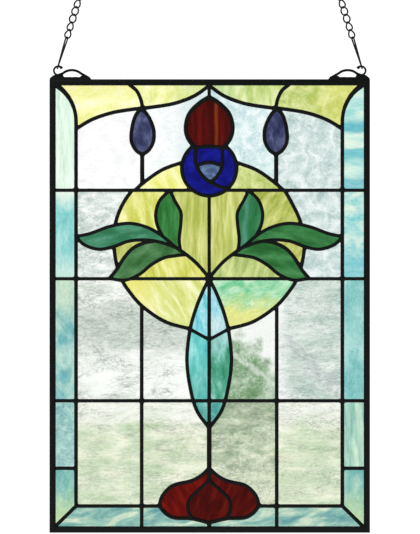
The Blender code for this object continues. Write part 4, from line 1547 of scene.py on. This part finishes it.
def mix_glasses() -> dict[str, GlassFinish]:
    """Every kind of sheet glass in the panel.

    Returns:
        The finishes by their names.
    """
    aqua, yellow, lime, clear, turquoise = (
        partial(GlassFinish, slot=slot)
        for slot in (Slot.AQUA, Slot.YELLOW, Slot.LIME, Slot.CLEAR, Slot.TURQUOISE))
    green = partial(GlassFinish, slot=Slot.GREEN, grain=0.35, shine=0.15, detail=4.0)
    red = partial(GlassFinish, slot=Slot.RED, grain=0.25, shine=0.08, detail=3.0)
    across = partial(Wash, tilt=90.0)
    kinds = [
        aqua("aqua", ((124, 190, 188), (144, 202, 198), (172, 218, 210)), cloud=26 * MM, stretch=(1.0, 1.6),
             detail=3.0),
        aqua("aqua_falling", ((116, 196, 198), (142, 212, 208), (184, 230, 220)), cloud=14 * MM,
             stretch=(1.0, 2.4), detail=3.0,
             washes=(Wash((226, 242, 230), 0.362, 0.38), Wash((196, 230, 220), 0.318, 0.292))),
        aqua("aqua_pale", ((134, 206, 206), (184, 226, 218), (230, 242, 224)), cloud=12 * MM,
             stretch=(1.6, 1.0), washes=(Wash((122, 198, 206), 0.33, 0.306, strength=0.75),)),
        aqua("aqua_banded", ((156, 216, 212), (196, 234, 224), (232, 244, 226)), cloud=12 * MM,
             stretch=(4.0, 1.0),
             washes=(Wash((112, 192, 200), 0.447, 0.453, stop=0.459, ragged=0.004),
                     Wash((120, 198, 204), 0.414, 0.42, stop=0.428, ragged=0.005),
                     Wash((112, 190, 200), 0.402, 0.394, strength=0.8, ragged=0.004))),
        aqua("aqua_grain", ((128, 178, 176), (148, 196, 190), (180, 216, 204)), grain=0.9, cloud=9 * MM,
             detail=6.0, fleck=(236, 242, 236), fleck_share=0.6, fleck_patch=24 * MM),
        aqua("aqua_smoke", ((92, 168, 174), (130, 188, 186), (184, 218, 204)), cloud=18 * MM,
             stretch=(1.0, 1.8), twist=1.2,
             washes=(Wash((204, 226, 202), 0.226, 0.262, strength=0.8),
                     Wash((190, 222, 210), 0.186, 0.196, stop=0.208, strength=0.6))),
        aqua("aqua_foot", ((112, 176, 172), (138, 192, 182), (174, 212, 190)), cloud=14 * MM,
             stretch=(1.0, 1.8), washes=(Wash((194, 220, 164), 0.05, 0.022, strength=0.75),)),
        aqua("aqua_stream", ((96, 154, 158), (146, 192, 178), (218, 230, 204)), cloud=13 * MM,
             stretch=(3.0, 1.0), turn=12.0, twist=1.0),
        aqua("mint", ((206, 236, 216), (226, 248, 230), (242, 254, 244)), grain=0.65, cloud=6 * MM,
             stretch=(1.0, 10.0), fleck=(150, 186, 160), fleck_share=0.5, fleck_stretch=(1.0, 9.0),
             fleck_size=2.5 * MM, detail=3.0),
        aqua("mint_streak", ((140, 190, 176), (172, 212, 194), (212, 234, 210)), cloud=7 * MM,
             stretch=(1.0, 6.0)),
        yellow("primrose", ((238, 238, 150), (250, 250, 186), (254, 254, 216)), cloud=14 * MM,
               stretch=(1.8, 1.0), turn=20.0,
               washes=(Wash((226, 226, 112), 0.486, 0.498, strength=0.4, ragged=0.006),)),
        yellow("primrose_green", ((216, 224, 128), (240, 244, 166), (252, 252, 206)), cloud=13 * MM,
               stretch=(1.0, 1.6), washes=(across((206, 224, 152), -0.05, -0.018, strength=0.7),)),
        yellow("citron", ((172, 192, 96), (198, 212, 132), (230, 234, 168)), cloud=15 * MM, twist=1.2,
               washes=(across((228, 226, 120), 0.105, 0.15, strength=0.55),)),
        yellow("citron_pale", ((182, 204, 116), (206, 222, 146), (240, 246, 196)), cloud=10 * MM,
               stretch=(1.0, 3.0), washes=(across((186, 214, 154), 0.045, 0.015, strength=0.6),)),
        yellow("lemon_pale", ((230, 232, 122), (243, 244, 156), (252, 252, 198)), cloud=9 * MM,
               stretch=(1.0, 4.0), turn=30.0),
        yellow("lemon", ((198, 202, 80), (222, 224, 124), (246, 246, 176)), cloud=9 * MM, stretch=(1.0, 4.0),
               turn=12.0),
        yellow("lemon_deep", ((154, 168, 66), (184, 194, 102), (218, 222, 142)), cloud=8 * MM,
               stretch=(1.0, 3.5), turn=-34.0),
        yellow("lemon_lime", ((206, 216, 112), (224, 230, 150), (250, 250, 204)), cloud=9 * MM,
               stretch=(1.0, 4.5), turn=32.0,
               washes=(across((240, 230, 116), -0.052, -0.078, strength=0.6),)),
        yellow("mint_lemon", ((112, 200, 150), (156, 216, 172), (204, 238, 204)), cloud=12 * MM,
               stretch=(2.0, 1.0), turn=20.0, twist=1.0, grain=0.7,
               washes=(Wash((232, 230, 140), 0.268, 0.246, strength=0.9),)),
        lime("lime", ((172, 184, 82), (194, 202, 112), (226, 230, 156)), cloud=6 * MM, stretch=(1.0, 9.0)),
        lime("lime_grey", ((152, 176, 92), (184, 200, 124), (218, 226, 158)), cloud=8 * MM,
             stretch=(1.0, 4.0), turn=-16.0),
        lime("lemon_chip", ((166, 176, 78), (190, 197, 106), (220, 224, 146)), cloud=8 * MM,
             stretch=(1.0, 3.5), turn=-20.0),
        clear("clear", ((244, 246, 245), (253, 253, 253), (255, 255, 255)), fleck=(176, 184, 182),
              fleck_share=0.25, fleck_stretch=(2.0, 1.0), grain=0.12, vein=(214, 220, 218), vein_share=0.35,
              vein_size=14 * MM, vein_stretch=(2.4, 1.0), detail=3.0),
        clear("clear_edged", ((236, 244, 243), (250, 252, 252), (255, 255, 255)), cloud=11 * MM, grain=0.3,
              vein=(206, 220, 220), vein_share=0.5, vein_size=11 * MM,
              washes=(across((202, 224, 224), -0.044, -0.018, strength=0.7),)),
        clear("clear_cool", ((178, 200, 197), (204, 221, 218), (236, 244, 242)), cloud=12 * MM, twist=0.8,
              detail=4.0, grain=0.75, vein=(246, 251, 250), vein_share=0.6, vein_size=10 * MM),
        clear("clear_blue", ((188, 217, 219), (213, 234, 233), (240, 249, 249)), cloud=12 * MM, twist=0.8,
              detail=4.0, grain=0.7, vein=(252, 255, 255), vein_share=0.7, vein_size=9 * MM),
        clear("clear_rough", ((196, 210, 203), (228, 236, 231), (252, 254, 252)), grain=0.85, cloud=10 * MM,
              stretch=(2.0, 1.0), twist=1.2, detail=6.0, fleck=(140, 152, 148), fleck_share=0.8,
              fleck_stretch=(1.8, 1.0), vein=(158, 170, 166), vein_share=0.7, vein_size=11 * MM,
              vein_stretch=(2.0, 1.0)),
        clear("water", ((206, 218, 207), (236, 242, 234), (255, 255, 254)), grain=0.9, cloud=16 * MM,
              stretch=(2.5, 1.0), fleck=(128, 140, 134), fleck_share=0.8, fleck_stretch=(2.6, 1.0),
              fleck_patch=26 * MM, vein=(150, 161, 155), vein_share=0.75, vein_size=12 * MM,
              vein_stretch=(2.4, 1.0),
              washes=(Wash((202, 212, 202), 0.262, 0.246, stop=0.214, strength=0.8),
                      Wash((250, 252, 248), 0.2, 0.19, stop=0.16, strength=0.7))),
        clear("water_cool", ((178, 200, 190), (200, 215, 206), (228, 236, 230)), cloud=14 * MM,
              stretch=(3.0, 1.0), grain=0.9, fleck=(138, 148, 152), fleck_share=0.9,
              fleck_stretch=(2.0, 1.0), vein=(250, 252, 250), vein_share=0.6, vein_size=12 * MM,
              vein_stretch=(2.0, 1.0),
              washes=(Wash((180, 182, 188), 0.202, 0.21, tilt=45.0, stop=0.216, strength=0.4, ragged=0.02),
                      across((250, 251, 250), 0.09, 0.078, strength=0.8, ragged=0.012))),
        clear("water_green", ((98, 138, 92), (126, 160, 122), (182, 202, 178)), cloud=16 * MM, twist=0.6,
              grain=0.9, vein=(226, 236, 222), vein_share=0.6, vein_size=9 * MM,
              washes=(across((196, 212, 194), 0.045, 0.075, strength=0.55, ragged=0.02),
                      Wash((222, 232, 220), 0.171, 0.174, tilt=37.0, stop=0.176, strength=0.6, ragged=0.004),
                      Wash((246, 249, 246), 0.188, 0.202, tilt=37.0, strength=0.92, ragged=0.014))),
        clear("water_cream", ((196, 216, 182), (214, 226, 198), (242, 244, 222)), grain=0.85, cloud=16 * MM,
              stretch=(3.0, 1.0), fleck=(138, 148, 134), fleck_share=0.8, fleck_stretch=(2.4, 1.0),
              vein=(160, 170, 156), vein_share=0.5, vein_size=13 * MM, vein_stretch=(2.2, 1.0),
              washes=(Wash((248, 249, 244), 0.112, 0.136, strength=0.8),)),
        clear("water_smoke", ((158, 178, 148), (188, 203, 173), (230, 236, 212)), grain=0.9, cloud=13 * MM,
              stretch=(2.0, 1.0), twist=1.0, fleck=(120, 134, 124), fleck_share=0.9,
              fleck_stretch=(1.6, 1.0), vein=(136, 150, 138), vein_share=0.7, vein_size=11 * MM,
              vein_stretch=(1.6, 1.0),
              washes=(Wash((226, 232, 206), 0.086, 0.06, strength=0.7),
                      Wash((142, 162, 136), 0.112, 0.14, strength=0.45))),
        turquoise("sky", ((104, 198, 210), (140, 216, 224), (200, 238, 242)), cloud=8 * MM,
                  stretch=(1.0, 2.4), turn=20.0, grain=0.7),
        turquoise("sky_pale", ((128, 204, 222), (162, 220, 230), (214, 240, 242)), cloud=8 * MM,
                  stretch=(1.0, 2.4), turn=20.0, grain=0.8,
                  washes=(Wash((200, 222, 222), 0.25, 0.236, strength=0.6),)),
        turquoise("cyan", ((84, 186, 188), (112, 206, 202), (164, 228, 222)), cloud=10 * MM,
                  stretch=(1.0, 3.0), washes=(Wash((88, 176, 160), 0.205, 0.165, strength=0.6),)),
        turquoise("teal", ((52, 138, 104), (84, 166, 138), (150, 212, 200)), cloud=11 * MM,
                  stretch=(1.0, 2.4), washes=(Wash((176, 224, 224), 0.204, 0.224, strength=0.85),)),
        turquoise("teal_deep", ((68, 150, 142), (94, 172, 162), (132, 200, 190)), cloud=10 * MM),
        green("leaf", ((34, 94, 42), (46, 112, 57), (70, 136, 80)), cloud=11 * MM, stretch=(3.0, 1.0),
              turn=-12.0),
        green("leaf_blue", ((48, 116, 78), (62, 132, 98), (86, 152, 122)), cloud=11 * MM, stretch=(3.0, 1.0),
              turn=10.0),
        green("leaf_lit", ((36, 106, 58), (46, 118, 70), (62, 134, 88)), cloud=9 * MM, stretch=(1.0, 4.0),
              turn=-14.0, detail=3.0,
              washes=(across((104, 172, 160), 0.035, 0.039, stop=0.04, strength=0.4, ragged=0.004),)),
        green("leaf_bright", ((38, 104, 44), (50, 120, 58), (72, 142, 78)), cloud=8 * MM,
              stretch=(1.0, 5.0)),
        green("leaf_grey", ((52, 102, 54), (68, 119, 70), (94, 142, 96)), cloud=10 * MM, stretch=(2.5, 1.0),
              turn=30.0),
        red("ruby", ((60, 4, 3), (76, 6, 3), (100, 20, 6)), cloud=8 * MM, stretch=(1.0, 4.0), turn=-24.0),
        red("ruby_bright", ((80, 5, 3), (98, 7, 3), (122, 22, 6)), cloud=8 * MM, stretch=(1.0, 4.0),
            turn=24.0),
        red("ruby_streaked", ((58, 3, 3), (72, 6, 4), (98, 14, 6)), cloud=7 * MM, stretch=(1.0, 7.0),
            washes=(across((150, 64, 22), 0.0045, 0.0065, stop=0.008, strength=0.55, ragged=0.0015),)),
        GlassFinish("cobalt", ((10, 12, 104), (14, 18, 124), (22, 28, 148)), Slot.COBALT, cloud=12 * MM,
                    grain=0.25, shine=0.08, detail=3.0),
        GlassFinish("slate", ((54, 76, 114), (74, 97, 135), (112, 136, 170)), Slot.SLATE, cloud=6 * MM,
                    stretch=(2.0, 1.0)),
        GlassFinish("violet", ((42, 47, 82), (57, 63, 100), (98, 104, 138)), Slot.VIOLET, cloud=10 * MM,
                    stretch=(1.0, 2.0), detail=3.0, shine=0.15),
    ]
    return {kind.name: kind for kind in kinds}


def hand_panes() -> list[Pane]:
    """Every pane with its glass: those of the middle, then each pair from the border in.

    A pair's row says its name, how far across and up it lies, its left and right glass, and where the
    solid that it stands for is joined from several panes, that solid's name.

    Returns:
        The panes.
    """
    glasses = mix_glasses()
    middle = (
        ("bloom", (0, 4.62), "ruby_streaked", "glass_bloom_red"),
        ("ring_crown", (0, 4.33), "cobalt", "glass_ring_crown"),
        ("ring_crescent", (-0.165, 4.19), "cobalt", "glass_ring_crescent"),
        ("ring_side", (0.15, 4.19), "cobalt", "glass_ring_side"),
        ("ring_eye", (0, 4.18), "slate", "glass_ring_eye"),
        ("bulb_petal", (0, 1.03), "ruby", "glass_bulb_petal"),
    )
    pairs = (
        ("border_1", 1.5, 1.15, "aqua_foot", "aqua_foot", "border_side"),
        ("border_2", 1.5, 1.7, "aqua_grain", "mint_streak", "border_side"),
        ("border_3", 1.5, 2.5, "aqua_smoke", "aqua", "border_side"),
        ("border_4", 1.5, 3.5, "aqua_falling", "aqua_pale", "border_side"),
        ("border_5", 1.5, 4.4, "mint", "aqua_banded", "border_side"),
        ("border_bottom_outer", 0.75, 0.5, "aqua_stream", "aqua_stream", "border_bottom"),
        ("border_bottom_inner", 0.25, 0.15, "aqua_stream", "aqua_stream", "border_bottom"),
        ("top_corner", 0.79, 4.87, "primrose", "citron"),
        ("top_centre", 0.34, 4.93, "primrose_green", "citron_pale"),
        ("field_top_outer", 0.79, 4.35, "clear", "clear_cool"),
        ("field_top_inner", 0.31, 4.45, "clear_edged", "clear_blue"),
        ("bud", 0.503, 4.55, "violet", "violet"),
        ("disc_cap", 0.36, 4.08, "lemon_pale", "citron"),
        ("disc_outer", 0.55, 3.78, "lemon", "lemon_deep"),
        ("disc_inner", 0.11, 3.7, "lime", "lime"),
        ("disc_chip", 0.645, 3.335, "lemon_chip", "lemon_chip"),
        ("disc_underleaf", 0.34, 3.1, "lemon", "lime_grey"),
        ("disc_quarter", 0.34, 2.82, "lemon_lime", "mint_lemon"),
        ("field_side_upper", 0.84, 3.75, "clear_rough", "clear_cool"),
        ("field_side_lower", 0.88, 3.15, "clear_rough", "clear_cool"),
        ("leaf_long", 0.71, 3.48, "leaf_blue", "leaf"),
        ("leaf_upright", 0.30, 3.66, "leaf_bright", "leaf_lit"),
        ("leaf_low", 0.53, 3.23, "leaf_grey", "leaf"),
        ("vesica_top", 0.06, 2.75, "sky", "sky_pale", "vesica"),
        ("vesica_middle", 0.08, 2.25, "cyan", "teal", "vesica"),
        ("vesica_foot", 0.05, 1.9, "teal_deep", "teal_deep", "vesica"),
        ("field_low_outer", 0.83, 2.4, "water", "water_cool"),
        ("field_low_inner", 0.38, 2.35, "water", "water_green"),
        ("field_foot_outer", 0.83, 1.5, "water_cream", "water_cream"),
        ("field_foot_inner", 0.30, 1.6, "water_cream", "water_smoke"),
        ("bulb_lobe", 0.28, 1.03, "ruby_bright", "ruby"),
    )
    panes = [Pane(name, at, glasses[glass], node) for name, at, glass, node in middle]
    for name, across, up, left, right, *joined in pairs:
        for side, glass in ((Side.LEFT, left), (Side.RIGHT, right)):
            half = side.name.lower()
            node = f"glass_{joined[0] if joined else name}_{half}"
            panes.append(Pane(f"{name}_{half}", (side.value * across, up), glasses[glass], node))
    return panes


@dataclass
class Studio:
    """The floor, the light and the camera."""

    floor_level: float = -1.15
    white: float = 1.12
    soft: float = 0.28
    eye: tuple[float, float, float] = (0.0003, -2.5, -0.3129)
    lens: float = 150.3
    sensor: float = 36.0
    lamp_at: tuple[float, float, float] = (-1.3, -1.8, 1.0)
    lamp_aim: tuple[float, float, float] = (0.0, 0.0, -0.3)
    lamp_size: tuple[float, float] = (1.6, 1.2)
    lamp_power: float = 9.0
    floor_reach: float = 3.5
    floor_glow: float = 0.4

    def build(self) -> None:
        """Set up everything round the panel."""
        self.light()
        self.floor()
        self.camera()

    def light(self) -> None:
        """A white wall all round for what is seen, and a softer light for what is lit."""
        world = bpy.data.worlds.new("studio")
        sheet = NodeSheet(world)
        sky = sheet.tree.nodes["Background"]
        sheet.set(sky.inputs["Color"], (1.0, 1.0, 1.0, 1.0))
        rays = sheet.add("LightPath").outputs
        seen = sheet.maths("MAXIMUM", rays["Is Camera Ray"], rays["Is Transmission Ray"])
        sheet.set(sky.inputs["Strength"], sheet.span(seen, 0.0, 1.0, self.soft, self.white))
        bpy.context.scene.world = world
        lamp = bpy.data.lights.new("soft_box", "AREA")
        lamp.shape = "RECTANGLE"
        lamp.size, lamp.size_y = self.lamp_size
        lamp.energy = self.lamp_power
        holder = stood("soft_box", lamp)
        holder.location = self.lamp_at
        aim = Vector(self.lamp_aim) - holder.location
        holder.rotation_euler = aim.to_track_quat("-Z", "Y").to_euler()

    def floor(self) -> None:
        """A pale floor below the panel."""
        shape = bmesh.new()
        bmesh.ops.create_grid(shape, x_segments=1, y_segments=1, size=self.floor_reach,
                              matrix=Matrix.Translation((0, 0, self.floor_level)))
        mesh = bpy.data.meshes.new("floor")
        shape.to_mesh(mesh)
        shape.free()
        pale = bpy.data.materials.new("floor_pale")
        sheet = NodeSheet(pale)
        tone = sheet.clouds(sheet.place(), 0.6)
        sheet.shade(Base_Color=sheet.ramp(tone, [(0.3, (238, 238, 236)), (0.7, (246, 246, 245))]),
                    Roughness=0.8, Emission_Color=(1.0, 1.0, 0.99, 1.0),
                    Emission_Strength=self.floor_glow)
        mesh.materials.append(pale)
        made = stood("floor", mesh)

    def camera(self) -> None:
        """The eye, straight in front of the panel."""
        data = bpy.data.cameras.new("eye")
        data.lens = self.lens
        data.sensor_width = self.sensor
        made = stood("eye", data)
        made.location = self.eye
        made.rotation_euler = (math.radians(90), 0, 0)
        bpy.context.scene.camera = made
        bpy.context.scene.view_settings.view_transform = "Standard"


def main() -> None:
    """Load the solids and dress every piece."""
    logging.basicConfig(level=logging.INFO, format="%(message)s")
    for old in list(bpy.data.objects):
        bpy.data.objects.remove(old)
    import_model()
    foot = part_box("frame")[0].z
    grid = Grid()
    pattern = Pattern(grid)
    workshop = Workshop(foot)
    ChannelFrame(grid, workshop).build()
    SolderWork(pattern, workshop).build()
    GlassWork(pattern, workshop, hand_panes()).build()
    for side in Side:
        hanger = Hanger(side, grid, workshop)
        hanger.build()
        Chain(hanger).build()
    Studio().build()


if __name__ == "__main__":
    main()
